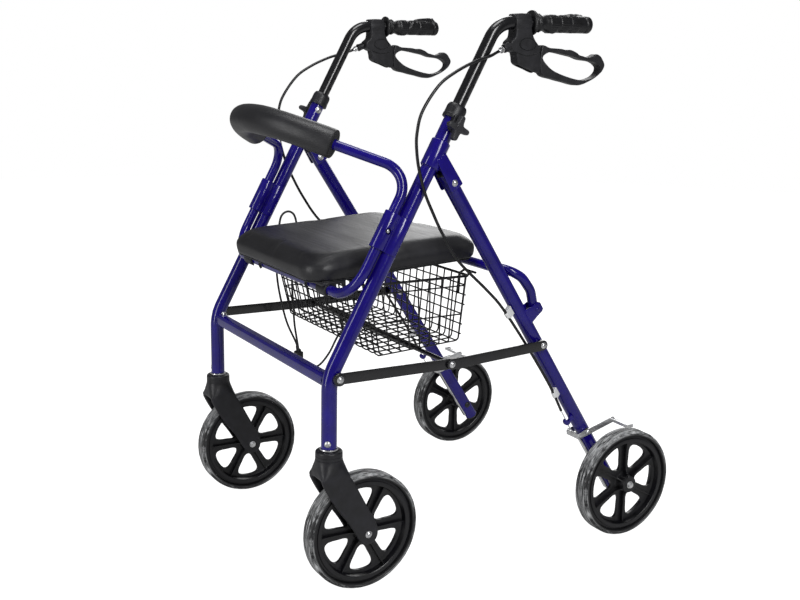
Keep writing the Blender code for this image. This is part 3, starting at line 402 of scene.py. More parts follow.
# ---------------------------------------------------------------- materials
class Paint:
    """A Principled material whose colour, roughness and bump come from procedural textures."""

    def __init__(self, name, roughness, metallic=0.0, **fixed):
        self.made = bpy.data.materials.new(name)
        self.made.use_nodes = True
        self.nodes, self.links = self.made.node_tree.nodes, self.made.node_tree.links
        self.shader = self.nodes["Principled BSDF"]
        self.shader.inputs["Roughness"].default_value = roughness
        self.shader.inputs["Metallic"].default_value = metallic
        for socket, value in fixed.items():
            self.shader.inputs[socket.replace("_", " ")].default_value = value
        self.place = self.nodes.new("ShaderNodeTexCoord").outputs["Object"]
        self.bumped = None

    def stretched(self, scale):
        mapping = self.nodes.new("ShaderNodeMapping")
        mapping.inputs["Scale"].default_value = scale
        self.links.new(self.place, mapping.inputs["Vector"])
        return mapping.outputs["Vector"]

    def noise(self, scale, detail=3.0, stretch=None, rough=0.5, distortion=0.0):
        made = self.nodes.new("ShaderNodeTexNoise")
        made.inputs["Scale"].default_value = scale
        made.inputs["Detail"].default_value = detail
        made.inputs["Roughness"].default_value = rough
        made.inputs["Distortion"].default_value = distortion
        self.links.new(self.stretched(stretch) if stretch else self.place, made.inputs["Vector"])
        return made.outputs["Fac"]

    def cells(self, scale, feature="F1", stretch=None, out="Distance"):
        made = self.nodes.new("ShaderNodeTexVoronoi")
        made.feature = feature
        made.inputs["Scale"].default_value = scale
        self.links.new(self.stretched(stretch) if stretch else self.place, made.inputs["Vector"])
        return made.outputs[out]

    def bands(self, scale, direction="DIAGONAL", distortion=0.0):
        made = self.nodes.new("ShaderNodeTexWave")
        made.bands_direction = direction
        made.inputs["Scale"].default_value = scale
        made.inputs["Distortion"].default_value = distortion
        self.links.new(self.place, made.inputs["Vector"])
        return made.outputs["Fac"]

    def ramp(self, source, stops):
        made = self.nodes.new("ShaderNodeValToRGB")
        while len(made.color_ramp.elements) < len(stops):
            made.color_ramp.elements.new(0.5)
        for element, (place, colour) in zip(made.color_ramp.elements, stops):
            element.position = place
            grey = isinstance(colour, (int, float))
            element.color = (colour, colour, colour, 1) if grey else (*colour, 1)
        self.links.new(source, made.inputs["Fac"])
        return made.outputs["Color"]

    def step(self, operation, *sources):
        """A vector maths node, fed by sockets or fixed vectors."""
        made = self.nodes.new("ShaderNodeVectorMath")
        made.operation = operation
        for socket, source in zip(made.inputs, sources):
            if isinstance(source, tuple):
                socket.default_value = source
            else:
                self.links.new(source, socket)
        return made.outputs["Value" if operation == "LENGTH" else "Vector"]

    def around_x(self, turn, across):
        """Draws out the textures that follow along the turn round the object's X axis."""
        flat = self.step("MULTIPLY", self.place, (0.0, 1.0, 1.0))
        way = self.step("MULTIPLY", self.step("NORMALIZE", flat), (0.0, turn, turn))
        over = self.step("MULTIPLY", self.step("ABSOLUTE", self.place), (across, 0.0, 0.0))
        out = self.step("MULTIPLY", self.step("LENGTH", flat), (across, 0.0, 0.0))
        self.place = self.step("ADD", self.step("ADD", way, over), out)
        return self

    def mix(self, share, first, second):
        made = self.nodes.new("ShaderNodeMix")
        made.data_type = "RGBA"
        self.links.new(share, made.inputs["Factor"])
        for source, socket in ((first, made.inputs[6]), (second, made.inputs[7])):
            self.links.new(source, socket)
        return made.outputs[2]

    def colour(self, source):
        self.links.new(source, self.shader.inputs["Base Color"])
        return self

    def rough(self, source):
        self.links.new(source, self.shader.inputs["Roughness"])
        return self

    def bump(self, source, strength, distance=0.0004):
        made = self.nodes.new("ShaderNodeBump")
        made.inputs["Strength"].default_value = strength
        made.inputs["Distance"].default_value = distance
        self.links.new(source, made.inputs["Height"])
        if self.bumped:
            self.links.new(self.bumped, made.inputs["Normal"])
        self.bumped = made.outputs["Normal"]
        self.links.new(self.bumped, self.shader.inputs["Normal"])
        return self


def plastic(name, dark, light, roughness, grain=900.0, strength=0.25):
    """Moulded plastic or rubber with a fine spark-eroded grain and faint handling marks."""
    p = Paint(name, roughness)
    p.colour(p.ramp(p.noise(55, 4), [(0.35, dark), (0.75, light)]))
    p.rough(p.ramp(p.noise(140, 3), [(0.3, roughness - 0.06), (0.7, roughness + 0.08)]))
    p.bump(p.noise(grain, 2), strength, 0.0002)
    return p.made


def blue_paint():
    p = Paint("blue_paint", 0.22, 0.0, Coat_Weight=0.6, Coat_Roughness=0.05, Specular_IOR_Level=0.2)
    p.colour(p.ramp(p.noise(30, 5), [(0.30, (0.005, 0.001, 0.130)), (0.72, (0.009, 0.003, 0.200))]))
    p.rough(p.ramp(p.noise(220, 3), [(0.3, 0.18), (0.7, 0.28)]))
    return p.made


def black_paint():
    p = Paint("black_paint", 0.32, 0.0, Coat_Weight=0.3, Coat_Roughness=0.12)
    p.colour(p.ramp(p.noise(60, 4), [(0.3, (0.003, 0.003, 0.004)), (0.75, (0.007, 0.007, 0.009))]))
    p.rough(p.ramp(p.noise(260, 3), [(0.3, 0.20), (0.7, 0.28)]))
    p.bump(p.noise(500, 2), 0.02, 0.0001)
    return p.made


def tyre_rubber():
    """Grey-black tyre with pale streaks round the tread and the shoulders: partly scuffs, partly a painted
    highlight of the lit tread.
    """
    p = Paint("tyre_rubber", 0.5)
    base = p.ramp(p.noise(45, 5), [(0.30, (0.006, 0.006, 0.007)), (0.70, (0.016, 0.016, 0.018))])
    p.bump(p.noise(330, 4, rough=0.65), 0.25, 0.0005)
    radius = p.step("LENGTH", p.step("MULTIPLY", p.place, (0.0, 1.0, 1.0)))
    p.around_x(0.10, 10.0)
    # pale streaks on the tread and shoulders: partly rubber scuffs, partly a painted highlight standing in
    # for the lit tread
    scuff_and_highlight_colour = p.ramp(p.noise(60, 6, rough=0.7), [(0.35, (0.16, 0.165, 0.17)), (0.70, (0.72, 0.73, 0.74))])
    scuff_and_highlight_streaks = p.ramp(p.noise(24, 7, rough=0.74, distortion=0.4), [(0.45, 0.0), (0.57, 1.0)])
    edge = p.ramp(p.step("MULTIPLY", radius, (10.0, 10.0, 10.0)), [(0.925, 0.0), (0.955, 1.0)])
    share = p.step("MULTIPLY", scuff_and_highlight_streaks, edge)
    p.colour(p.mix(share, base, scuff_and_highlight_colour))
    p.rough(p.ramp(p.noise(90, 4), [(0.3, 0.36), (0.7, 0.62)]))
    return p.made


def zinc():
    p = Paint("zinc", 0.32, 1.0)
    p.colour(p.ramp(p.noise(160, 4), [(0.3, (0.62, 0.63, 0.65)), (0.7, (0.80, 0.80, 0.80))]))
    p.rough(p.ramp(p.noise(300, 4), [(0.3, 0.27), (0.7, 0.37)]))
    return p.made


def vinyl():
    """Upholstery vinyl: pebble grain over soft creases, with a satin sheen."""
    p = Paint("seat_vinyl", 0.38, 0.0, Specular_IOR_Level=0.5)
    p.colour(p.ramp(p.noise(24, 5), [(0.3, (0.008, 0.008, 0.010)), (0.75, (0.014, 0.014, 0.017))]))
    p.rough(p.ramp(p.noise(9, 6, stretch=(1.0, 16.0, 1.0)), [(0.3, 0.36), (0.7, 0.47)]))
    p.bump(p.noise(9, 5, stretch=(1.0, 14.0, 1.0)), 0.12, 0.0006)
    p.bump(p.cells(900, "SMOOTH_F1"), 0.35, 0.0003)
    return p.made


def foam():
    """Skinned foam: a charcoal surface that is finely pitted, with a broad soft highlight."""
    p = Paint("backrest_foam", 0.42)
    p.colour(p.ramp(p.noise(18, 5), [(0.3, (0.010, 0.010, 0.012)), (0.75, (0.018, 0.018, 0.021))]))
    p.rough(p.ramp(p.noise(60, 4), [(0.3, 0.38), (0.7, 0.48)]))
    p.bump(p.noise(38, 3), 0.12, 0.0006)
    p.bump(p.cells(1300), 0.25, 0.0002)
    return p.made


def braid():
    p = Paint("pull_cord", 0.75, 0.0, Sheen_Weight=0.3)
    p.colour(p.ramp(p.bands(420, distortion=1.0), [(0.3, (0.006, 0.006, 0.007)),
                                                   (0.7, (0.024, 0.024, 0.026))]))
    p.rough(p.ramp(p.noise(300, 2), [(0.3, 0.68), (0.7, 0.82)]))
    p.bump(p.bands(420, distortion=1.0), 0.7, 0.0004)
    return p.made


BLUE = blue_paint()
BLACK = black_paint()
SATIN = plastic("black_plastic", (0.004, 0.004, 0.006), (0.011, 0.011, 0.016), 0.44, 900.0, 0.10)
HOUSING = plastic("housing_plastic", (0.008, 0.008, 0.010), (0.020, 0.020, 0.024), 0.50, 900.0, 0.10)
KNOB = plastic("knob_plastic", (0.018, 0.018, 0.022), (0.034, 0.035, 0.040), 0.44, 900.0, 0.10)
RIM = plastic("rim_plastic", (0.002, 0.002, 0.003), (0.006, 0.006, 0.009), 0.38, 700.0, 0.15)
TYRE = tyre_rubber()
GRIP = plastic("grip_rubber", (0.003, 0.003, 0.004), (0.008, 0.008, 0.010), 0.36, 1100.0, 0.10)
ZINC = zinc()
VINYL = vinyl()
FOAM = foam()
BOARD = plastic("seat_board", (0.003, 0.003, 0.004), (0.008, 0.008, 0.009), 0.62, 260.0, 0.4)
WIRE = plastic("basket_wire", (0.002, 0.002, 0.003), (0.006, 0.006, 0.008), 0.32, 800.0, 0.02)
CABLE = plastic("cable_jacket", (0.002, 0.002, 0.003), (0.006, 0.006, 0.008), 0.34, 600.0, 0.02)
CORD = braid()
END_BLACK = plastic("foam_end", (0.005, 0.005, 0.006), (0.012, 0.012, 0.013), 0.75, 1300.0, 0.6)
CLIP_WHITE = plastic("white_clip", (0.74, 0.75, 0.76), (0.86, 0.86, 0.86), 0.45, 500.0, 0.1)


def put(obj, body, paint, *nodes, slot=None):
    """Gives a finished piece its material and body, and hides the CAD nodes that it stands for. The slot
    argument is not used.
    """
    obj.data.materials.clear()
    obj.data.materials.append(paint)
    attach(obj, body)
    if nodes:
        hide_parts(*nodes)
    return obj


# ---------------------------------------------------------------- camera, light and floor
CAMERA_AT = Vector((1.6998, -1.0688, 0.8572))
CAMERA_AZ, CAMERA_EL, CAMERA_ROLL = (math.radians(a) for a in (59.1565, 12.5464, 1.1282))
CAMERA_LENS = 49.034
SURROUND = 0.14                # strength of the white surround that lights the pieces
FLOOR_GLOW = 0.25              # how bright the pieces see the floor, which the camera sees white
FLOOR_R = 6.0
# name, place, aim, size and power in watts
LAMPS = (("key", (2.6, -0.4, 2.1), (0, 0, 0.5), (0.6, 1.9), 52),
         ("front", (0.2, -3.0, 1.2), (0, 0, 0.5), (0.6, 2.4), 30),
         ("rear", (-2.2, 2.0, 1.9), (0, 0, 0.6), (1.8, 2.2), 38),
         ("top", (0.0, -0.2, 2.9), (0, 0, 0.5), (1.0, 1.0), 22))


def camera():
    back = Vector((math.sin(CAMERA_AZ) * math.cos(CAMERA_EL), -math.cos(CAMERA_AZ) * math.cos(CAMERA_EL),
                   math.sin(CAMERA_EL)))
    right = (-back).cross(Vector((0, 0, 1))).normalized()
    up = right.cross(-back)
    turn, lean = math.cos(CAMERA_ROLL), math.sin(CAMERA_ROLL)
    across, above = right * turn + up * lean, up * turn - right * lean
    data = bpy.data.cameras.new("camera")
    data.lens = CAMERA_LENS
    data.sensor_width = 36.0
    obj = bpy.data.objects.new("camera", data)
    SCENE.objects.link(obj)
    obj.matrix_world = Matrix.Translation(CAMERA_AT) @ Matrix((across, above, back)).transposed().to_4x4()
    bpy.context.scene.camera = obj


def area_light(name, place, aim, size, power):
    data = bpy.data.lights.new(name, "AREA")
    data.shape = "RECTANGLE"
    data.size, data.size_y = size
    data.energy = power
    obj = bpy.data.objects.new(name, data)
    SCENE.objects.link(obj)
    obj.location = place
    obj.rotation_mode = "QUATERNION"
    obj.rotation_quaternion = (Vector(aim) - Vector(place)).to_track_quat("-Z", "Y")


def studio():
    """White room: the camera sees pure white, and soft panels in a grey surround light the pieces."""
    bpy.context.scene.view_settings.view_transform = "Standard"
    world = bpy.data.worlds.new("studio")
    world.use_nodes = True
    nodes, links = world.node_tree.nodes, world.node_tree.links
    seen = nodes.new("ShaderNodeLightPath").outputs["Is Camera Ray"]
    tone = nodes.new("ShaderNodeMix")
    tone.inputs[2].default_value = SURROUND
    tone.inputs[3].default_value = 1.0
    links.new(seen, tone.inputs[0])
    links.new(tone.outputs[0], nodes["Background"].inputs["Strength"])
    nodes["Background"].inputs["Color"].default_value = (1.0, 1.0, 1.0, 1.0)
    bpy.context.scene.world = world
    bm = bmesh.new()
    bmesh.ops.create_circle(bm, cap_ends=True, segments=96, radius=FLOOR_R)
    bmesh.ops.translate(bm, vec=(0, 0, GROUND_Z - 0.0004), verts=bm.verts)
    floor = mesh_object("floor", bm)
    p = Paint("floor", 0.8, Emission_Strength=1.0, Emission_Color=(1.0, 1.0, 1.0, 1.0))
    p.colour(p.ramp(p.noise(3, 2), [(0.3, 0.30), (0.7, 0.32)]))
    glow = p.made.node_tree.nodes.new("ShaderNodeMix")
    glow.inputs[2].default_value = FLOOR_GLOW
    glow.inputs[3].default_value = 1.0
    path = p.made.node_tree.nodes.new("ShaderNodeLightPath")
    shader = next(n for n in p.made.node_tree.nodes if n.type == "BSDF_PRINCIPLED")
    p.made.node_tree.links.new(path.outputs["Is Camera Ray"], glow.inputs[0])
    p.made.node_tree.links.new(glow.outputs[0], shader.inputs["Emission Strength"])
    floor.data.materials.append(p.made)
    for lamp in LAMPS:
        area_light(*lamp)


camera()
studio()


# ---------------------------------------------------------------- small hardware
def screw_head(name, place, axis, radius=0.0055, height=0.0030, recess="cross"):
    """Domed screw or rivet head on a washer."""
    axis = Vector(axis).normalized()
    profile = [(0, height), (radius * 0.45, height * 0.93), (radius * 0.78, height * 0.66),
               (radius, height * 0.2), (radius, 0.0003), (radius * 1.10, 0.0002), (radius * 1.10, -0.0006),
               (0, -0.0006)]
    head = turned(name, profile, place, axis, 32)
    if recess == "cross":
        turn = axis.to_track_quat("Z", "Y").to_matrix().to_4x4()
        cutters = []
        for i in range(2):
            cut = box(f"{name}_cut_{i}", (-radius * 0.55, -radius * 0.12, height * 0.55),
                      (radius * 0.55, radius * 0.12, height * 1.5))
            quarter = Matrix.Rotation(i * math.pi / 2, 4, "Z")
            cut.matrix_world = Matrix.Translation(Vector(place)) @ turn @ quarter
            cutters.append(cut)
        head = carve(head, cutters)
    return smooth(head, 30)


def hex_nut(name, place, axis, across=0.0065, height=0.0055):
    """Zinc lock nut with a chamfered crown and a washer under it."""
    axis = Vector(axis).normalized()
    bm = bmesh.new()
    bmesh.ops.create_cone(bm, cap_ends=True, segments=6, radius1=across, radius2=across, depth=height * 0.7)
    bmesh.ops.translate(bm, vec=(0, 0, height * 0.35), verts=bm.verts)
    bmesh.ops.bevel(bm, geom=list(bm.edges), offset=0.0005, segments=2, affect="EDGES", profile=0.5)
    turn = axis.to_track_quat("Z", "Y").to_matrix().to_4x4()
    bmesh.ops.transform(bm, matrix=Matrix.Translation(Vector(place)) @ turn, verts=bm.verts)
    nut = mesh_object(name, bm)
    crown = turned(f"{name}_crown", [(0, height), (across * 0.5, height), (across * 0.78, height * 0.85),
                                     (across * 0.82, height * 0.6), (0, height * 0.6)], place, axis, 32)
    washer = turned(f"{name}_washer", [(across * 1.1, 0.0006), (across * 1.1, -0.0004), (0.001, -0.0004),
                                       (0.001, 0.0006)], place, axis, 32)
    return smooth(join(nut, crown, washer), 30)


def weld(name, centre, axis, radius, arc=(0.0, 360.0), bead=0.0011, count=44):
    """A run of small overlapping weld ripples round a tube."""
    axis = Vector(axis).normalized()
    turn = axis.to_track_quat("Z", "Y").to_matrix()
    bm = bmesh.new()
    for i in range(count):
        angle = math.radians(arc[0] + (arc[1] - arc[0]) * i / count)
        spot = Vector(centre) + turn @ Vector((math.cos(angle), math.sin(angle), 0)) * radius
        scale = bead * (1.0 + 0.15 * math.sin(i * 2.4))
        bmesh.ops.create_icosphere(bm, subdivisions=2, radius=scale, matrix=Matrix.Translation(spot))
    return smooth(mesh_object(name, bm), 80)


# ---------------------------------------------------------------- front frame
def front_leg(side, word):
    route = rounded([at(side, 0, LEG_FOOT), at(side, 0, LEG_CORNER), at(side, 0, LEG_TOP)], 0.09, 20)
    leg = tube(f"leg_tube_{word}", route, LEG_R, 48)
    bore = cylinder("bore", at(side, 0, LEG_TOP - ALONG * 0.03), at(side, 0, LEG_TOP + ALONG * 0.01), 0.0108,
                    48)
    leg = smooth(carve(leg, [bore]), 40)
    put(leg, "front_frame", BLUE, f"front_leg_{word}")
    towards = Vector((side * 0.80, -0.60, 0.0))
    foot = Vector((side * LEG_X, LEG_FOOT.x, 0.2600))
    put(screw_head(f"foot_screw_{word}", foot + towards * LEG_R, towards, 0.0048, 0.0026),
        "front_frame", ZINC)
    inner = at(side, -LEG_R, LINK_FRONT)
    put(screw_head(f"link_bolt_inner_{word}", inner, (-side, 0, 0), 0.0060, 0.0034),
        "front_frame", ZINC)
    top = leg_axis(0.7546)
    put(screw_head(f"clamp_bolt_{word}", at(side, -LEG_R, top), (-side, 0, 0), 0.0058, 0.0036, "none"),
        "front_frame", ZINC)


def cross_tube():
    centre, half = Vector((-0.3185, 0.3580)), 0.0100
    reach = LEG_X - LEG_R + 0.002
    bar = box("cross_tube", (-reach, centre.x - half, centre.y - half),
              (reach, centre.x + half, centre.y + half))
    bm = bmesh.new()
    bm.from_mesh(bar.data)
    runs = [e for e in bm.edges if abs(e.verts[0].co.x - e.verts[1].co.x) > 0.1]
    bmesh.ops.bevel(bm, geom=runs, offset=0.0048, segments=6, affect="EDGES", profile=0.5)
    bm.to_mesh(bar.data)
    bm.free()
    put(smooth(bar, 40), "front_frame", BLUE, "front_cross_tube")
    for word, side in SIDES.items():
        ring_weld = weld(f"cross_weld_{word}", (side * (LEG_X - LEG_R - 0.0012), centre.x, centre.y),
                         (1, 0, 0), 0.0108)
        put(ring_weld, "front_frame", BLUE)


def hinge_bracket(side, word):
    """Sleeve round the front leg with two flat straps that hold the rear leg's bolt."""
    end, top = PIVOT + DOWN * 0.0105, PIVOT - DOWN * 0.050
    outline = off_leg(end, (-0.0030, -0.0125), (-0.0008, -0.0118), (0, -0.0095), (0, 0.0095),
                      (-0.0008, 0.0118), (-0.0030, 0.0125)) + off_leg(top, (0, 0.0110), (0, -0.0090))
    bracket = plate(f"hinge_bracket_shell_{word}", [outline], *span(side, -0.0164, 0.0164), 0.0010)
    wrap = cylinder("wrap", at(side, 0, leg_axis(0.6885)), at(side, 0, leg_axis(0.7285)), 0.0156, 64, 0.0012)
    leg = cylinder("leg", at(side, 0, leg_axis(0.60)), at(side, 0, leg_axis(0.80)), LEG_R + 0.0002, 64)
    slot_top = PIVOT - DOWN * 0.030
    slot = plate("slot", [[slot_top - BACK * 0.03, PIVOT + DOWN * 0.05 - BACK * 0.03,
                           PIVOT + DOWN * 0.05 + BACK * 0.03, slot_top + BACK * 0.03]],
                 *span(side, -0.0132, 0.0132))
    bracket = carve(bracket, [wrap], "UNION")
    bracket = smooth(carve(bracket, [leg, slot]), 38)
    put(bracket, "front_frame", BLUE, f"top_hinge_bracket_{word}")
    head = screw_head(f"hinge_bolt_head_{word}", at(side, 0.0167, PIVOT), (side, 0, 0), 0.0050, 0.0034)
    nut = hex_nut("nut", at(side, -0.0167, PIVOT), (-side, 0, 0), 0.0056, 0.0046)
    shaft = cylinder("shaft", at(side, -0.0170, PIVOT), at(side, 0.0170, PIVOT), 0.0038, 24)
    put(smooth(join(head, nut, shaft), 30), "front_frame", ZINC, f"hinge_bolt_{word}")
    for end_name, z in (("upper", 0.7288), ("lower", 0.6882)):
        bead = weld(f"bracket_weld_{end_name}_{word}", at(side, 0, leg_axis(z)), Vector((0, *ALONG)),
                    LEG_R + 0.0007, (0, 360), 0.0009, 60)
        put(bead, "front_frame", BLUE)


def seat_clamp(side, word):
    """Double sleeve: a saddle welded on the leg, and a socket with a snap button for the tubes."""
    low, high = (sleeve_axis(z) for z in SLEEVE_Z)
    clamp = cylinder(f"seat_clamp_body_{word}", at(1, 0, low), at(1, 0, high), 0.0127, 56, 0.0010)
    legs = [leg_axis(z - SLEEVE_OFFSET * ACROSS.y) for z in SLEEVE_Z]
    saddle = cylinder("saddle", at(1, 0, legs[0]), at(1, 0, legs[1]), 0.0150, 56, 0.0008)
    web = plate("web", [[low - ACROSS * 0.024 + ALONG * 0.001, low + ALONG * 0.001, high - ALONG * 0.001,
                         high - ACROSS * 0.024 - ALONG * 0.001]], *span(1, -0.0085, 0.0085))
    clamp = carve(carve(clamp, [saddle], "UNION"), [web], "UNION")
    behind = [p - ACROSS * 0.0045 for p in legs]
    trim = plate("trim", [[behind[0] - ALONG * 0.02, behind[1] + ALONG * 0.02,
                           behind[1] + ALONG * 0.02 - ACROSS * 0.04,
                           behind[0] - ALONG * 0.02 - ACROSS * 0.04]], *span(1, -0.03, 0.03))
    leg = cylinder("leg", at(1, 0, legs[0] - ALONG * 0.05), at(1, 0, legs[1] + ALONG * 0.05), LEG_R + 0.0001,
                   56)
    socket = cylinder("socket", at(1, 0, low - ALONG * 0.02), at(1, 0, high + ALONG * 0.02),
                      SEAT_TUBE_R + 0.0003, 56)
    centre = (low + high) / 2 + ALONG * 0.0005
    button_hole = cylinder("hole", at(1, 0.005, centre), at(1, 0.03, centre), 0.0052, 32)
    clamp = carve(clamp, [trim, leg, socket, button_hole])
    clamp = smooth(mirrored(clamp, side), 35)
    put(clamp, "front_frame", BLUE, f"seat_clamp_{word}")
    button = turned(f"snap_button_{word}", [(0, 0.0040), (0.0020, 0.0036), (0.0034, 0.0022), (0.0038, 0.0),
                                            (0.0038, -0.002), (0, -0.002)],
                    at(side, SEAT_TUBE_R, centre), (side, 0, 0), 32)
    put(smooth(button), "front_frame", ZINC)
    edge = legs[0] - ACROSS * 0.0049
    beads = []
    for i in range(30):
        spot = edge + ALONG * ((legs[1] - legs[0]).length * (i + 0.5) / 30)
        beads += [at(side, 0.0139, spot), at(side, -0.0139, spot)]
    bm = bmesh.new()
    for i, spot in enumerate(beads):
        bmesh.ops.create_icosphere(bm, subdivisions=2, radius=0.0010 + 0.0002 * math.sin(i * 2.1),
                                   matrix=Matrix.Translation(spot))
    put(smooth(mesh_object(f"clamp_weld_{word}", bm), 80), "front_frame", BLUE)


def seat_front_tube():
    top = sleeve_axis((SLEEVE_Z[0] + SLEEVE_Z[1]) / 2 - 0.002)
    half = [at(1, 0, top), at(1, 0, sleeve_axis(SEAT_PIVOT.y))]
    route = rounded(both_sides(half), 0.055, 20)
    put(tube("seat_tube", route, SEAT_TUBE_R, 40), "front_frame", BLUE, "seat_front_tube")


def bow_point(share):
    bend = abs(share) ** 2.22
    return Vector((BOW_END.x * share, BOW_MID.y + (BOW_END.y - BOW_MID.y) * bend,
                   BOW_MID.z + (BOW_END.z - BOW_MID.z) * bend))


def bow_route(count):
    return [bow_point(-1 + 2 * i / count) for i in range(count + 1)]


def swept(name, route, radii, sides=64):
    """A round body of varying radius along a route, closed at both ends."""
    bm = bmesh.new()
    rings = []
    for i, (place, radius) in enumerate(zip(route, radii)):
        ahead = route[min(i + 1, len(route) - 1)] - route[max(i - 1, 0)]
        turn = ahead.to_track_quat("Z", "Y").to_matrix()
        rings.append([bm.verts.new(place + turn @ Vector((math.cos(2 * math.pi * k / sides),
                                                          math.sin(2 * math.pi * k / sides), 0)) * radius)
                      for k in range(sides)])
    return skinned(name, bm, rings)


def backrest():
    low = sleeve_axis((SLEEVE_Z[0] + SLEEVE_Z[1]) / 2 + 0.002)
    arm = rounded([at(1, 0, low), at(1, 0, sleeve_axis(0.6815)), bow_point(1.0)], 0.042, 18)
    bow = list(reversed(bow_route(40)))[1:-1]
    route = arm + bow + [Vector((-p.x, p.y, p.z)) for p in reversed(arm)]
    put(tube("backrest_bar", route, SEAT_TUBE_R, 40), "front_frame", BLUE, "backrest_tube")
    count = 90
    line, radii = bow_route(count), []
    total = sum((b - a).length for a, b in zip(line, line[1:]))
    gone = 0.0
    for i, place in enumerate(line):
        if i:
            gone += (place - line[i - 1]).length
        edge = min(gone, total - gone)
        lip = max(0.0, 0.0010 - edge) / 0.0010
        radii.append(0.0237 + 0.0003 * math.sin(gone * 38.0) - 0.0006 * lip ** 2)
    pad = swept("backrest_cushion", line, radii, 72)
    bm = bmesh.new()
    bm.from_mesh(pad.data)
    for v in bm.verts:
        wobble = noise.noise(v.co * 22.0) * 0.00035
        v.co += v.normal * wobble
    bm.to_mesh(pad.data)
    bm.free()
    smooth(pad, 40)
    put(pad, "front_frame", FOAM, "backrest_pad")
    for word, side in SIDES.items():
        end, before = bow_point(side), bow_point(side * 0.97)
        out = (end - before).normalized()
        disc = turned(f"pad_end_{word}", [(0.0226, 0.0010), (0.0236, 0.0002), (0.0236, -0.0016),
                                          (0.0090, -0.0016), (0.0090, 0.0010)], end + out * 0.0002, out, 64)
        put(smooth(disc), "front_frame", END_BLACK)


# ---------------------------------------------------------------- handles
def height_collar(side, word):
    profile = fillets([(0.0109, 0.0185), (0.0142, 0.0185), (0.0160, 0.0150), (0.0166, 0.0120),
                       (0.0166, 0.0010), (0.0172, -0.0005), (0.0172, -0.0058), (0.0131, -0.0058),
                       (0.0131, 0.0003), (0.0109, 0.0003)], 0.0008, 2)
    collar = turned(f"collar_{word}", profile, at(side, 0, LEG_TOP), Vector((0, *ALONG)), 64)
    put(smooth(collar, 30), "front_frame", SATIN, f"height_collar_{word}")
    saddle = plate(f"collar_lobe_{word}", [stadium(leg_axis(0.7515), leg_axis(0.7640), 0.0088, 14)],
                   *span(side, 0.0100, 0.0196), 0.0012)
    put(smooth(saddle, 35), "front_frame", SATIN)


def star_knob(side, word):
    """Four-armed knob: straight arms with round ends and deep hollows between them."""
    axis, arm, tip, hollow = leg_axis(0.7510), 0.0044, 0.0205, 0.0088
    outline = []
    for k in range(4):
        heading = math.radians(65 + 90 * k)
        for i in range(9):
            turn = math.radians(-90 + 180 * i / 8)
            x, y = tip - arm + arm * math.cos(turn), arm * math.sin(turn)
            outline.append((axis.x + x * math.cos(heading) - y * math.sin(heading),
                            axis.y + x * math.sin(heading) + y * math.cos(heading)))
        for i in range(1, 6):
            turn = heading + math.radians(24 + 42 * i / 6)
            dip = hollow + 0.0012 * abs(i - 3) / 2
            outline.append((axis.x + dip * math.cos(turn), axis.y + dip * math.sin(turn)))
    knob = plate("star_knob_body", [outline], *span(side, 0.0225, 0.0335), 0.0020, 4)
    knob.name = f"knob_star_{word}"
    hub = turned("hub", [(0, 0.0120), (0.0056, 0.0120), (0.0076, 0.0104), (0.0080, 0.0070), (0.0080, 0.0),
                         (0, 0.0)], at(side, 0.0222, axis), (side, 0, 0), 48)
    neck = cylinder("neck", at(side, 0.0198, axis), at(side, 0.0235, axis), 0.0064, 40, 0.0005)
    knob = smooth(join(knob, hub, neck), 35)
    put(knob, f"knob_{word}", KNOB, f"star_knob_{word}")


def handle_tube(side, word):
    body = f"handle_{word}"
    corner = LEG_CORNER + ALONG * ((HANDLE_Z - LEG_CORNER.y) / ALONG.y)
    low = LEG_TOP - ALONG * 0.14
    end = Vector((GRIP_Y[1] - 0.0060, HANDLE_Z))
    route = rounded([at(side, 0, low), at(side, 0, corner), at(side, 0, end)], 0.047, 24)
    bar = tube(f"handle_bar_{word}", route, HANDLE_R, 48)
    holes = []
    for i in range(-3, 3):
        spot = Vector((-0.0732, 0.8142)) + ALONG * (0.0229 * i)
        holes.append(cylinder(f"hole_{i}", at(side, 0.0060, spot), at(side, 0.02, spot), 0.0029, 24))
        holes.append(cylinder(f"hole_b_{i}", at(side, -0.0060, spot), at(side, -0.02, spot), 0.0029, 24))
    bar = smooth(carve(bar, holes), 35)
    put(bar, body, BLACK, f"handle_tube_{word}")


# the thumb fin: distances from the grip's front end, angles up from its inner side, and heights
FIN_AT = (0.036, 0.041, 0.053, 0.0665, 0.0756, 0.089, 0.103, 0.1135, 0.120)
FIN_ANGLE = (-90, -90, -7, 58, 90, 95, 95, 90, 90)
FIN_RISE = (0.0, 0.0005, 0.0012, 0.0022, 0.0036, 0.0052, 0.0064, 0.0066, 0.0)
PADS = ((0.0155, 0.0035), (0.0420, 0.0085), (0.0640, 0.0085), (0.0860, 0.0085))


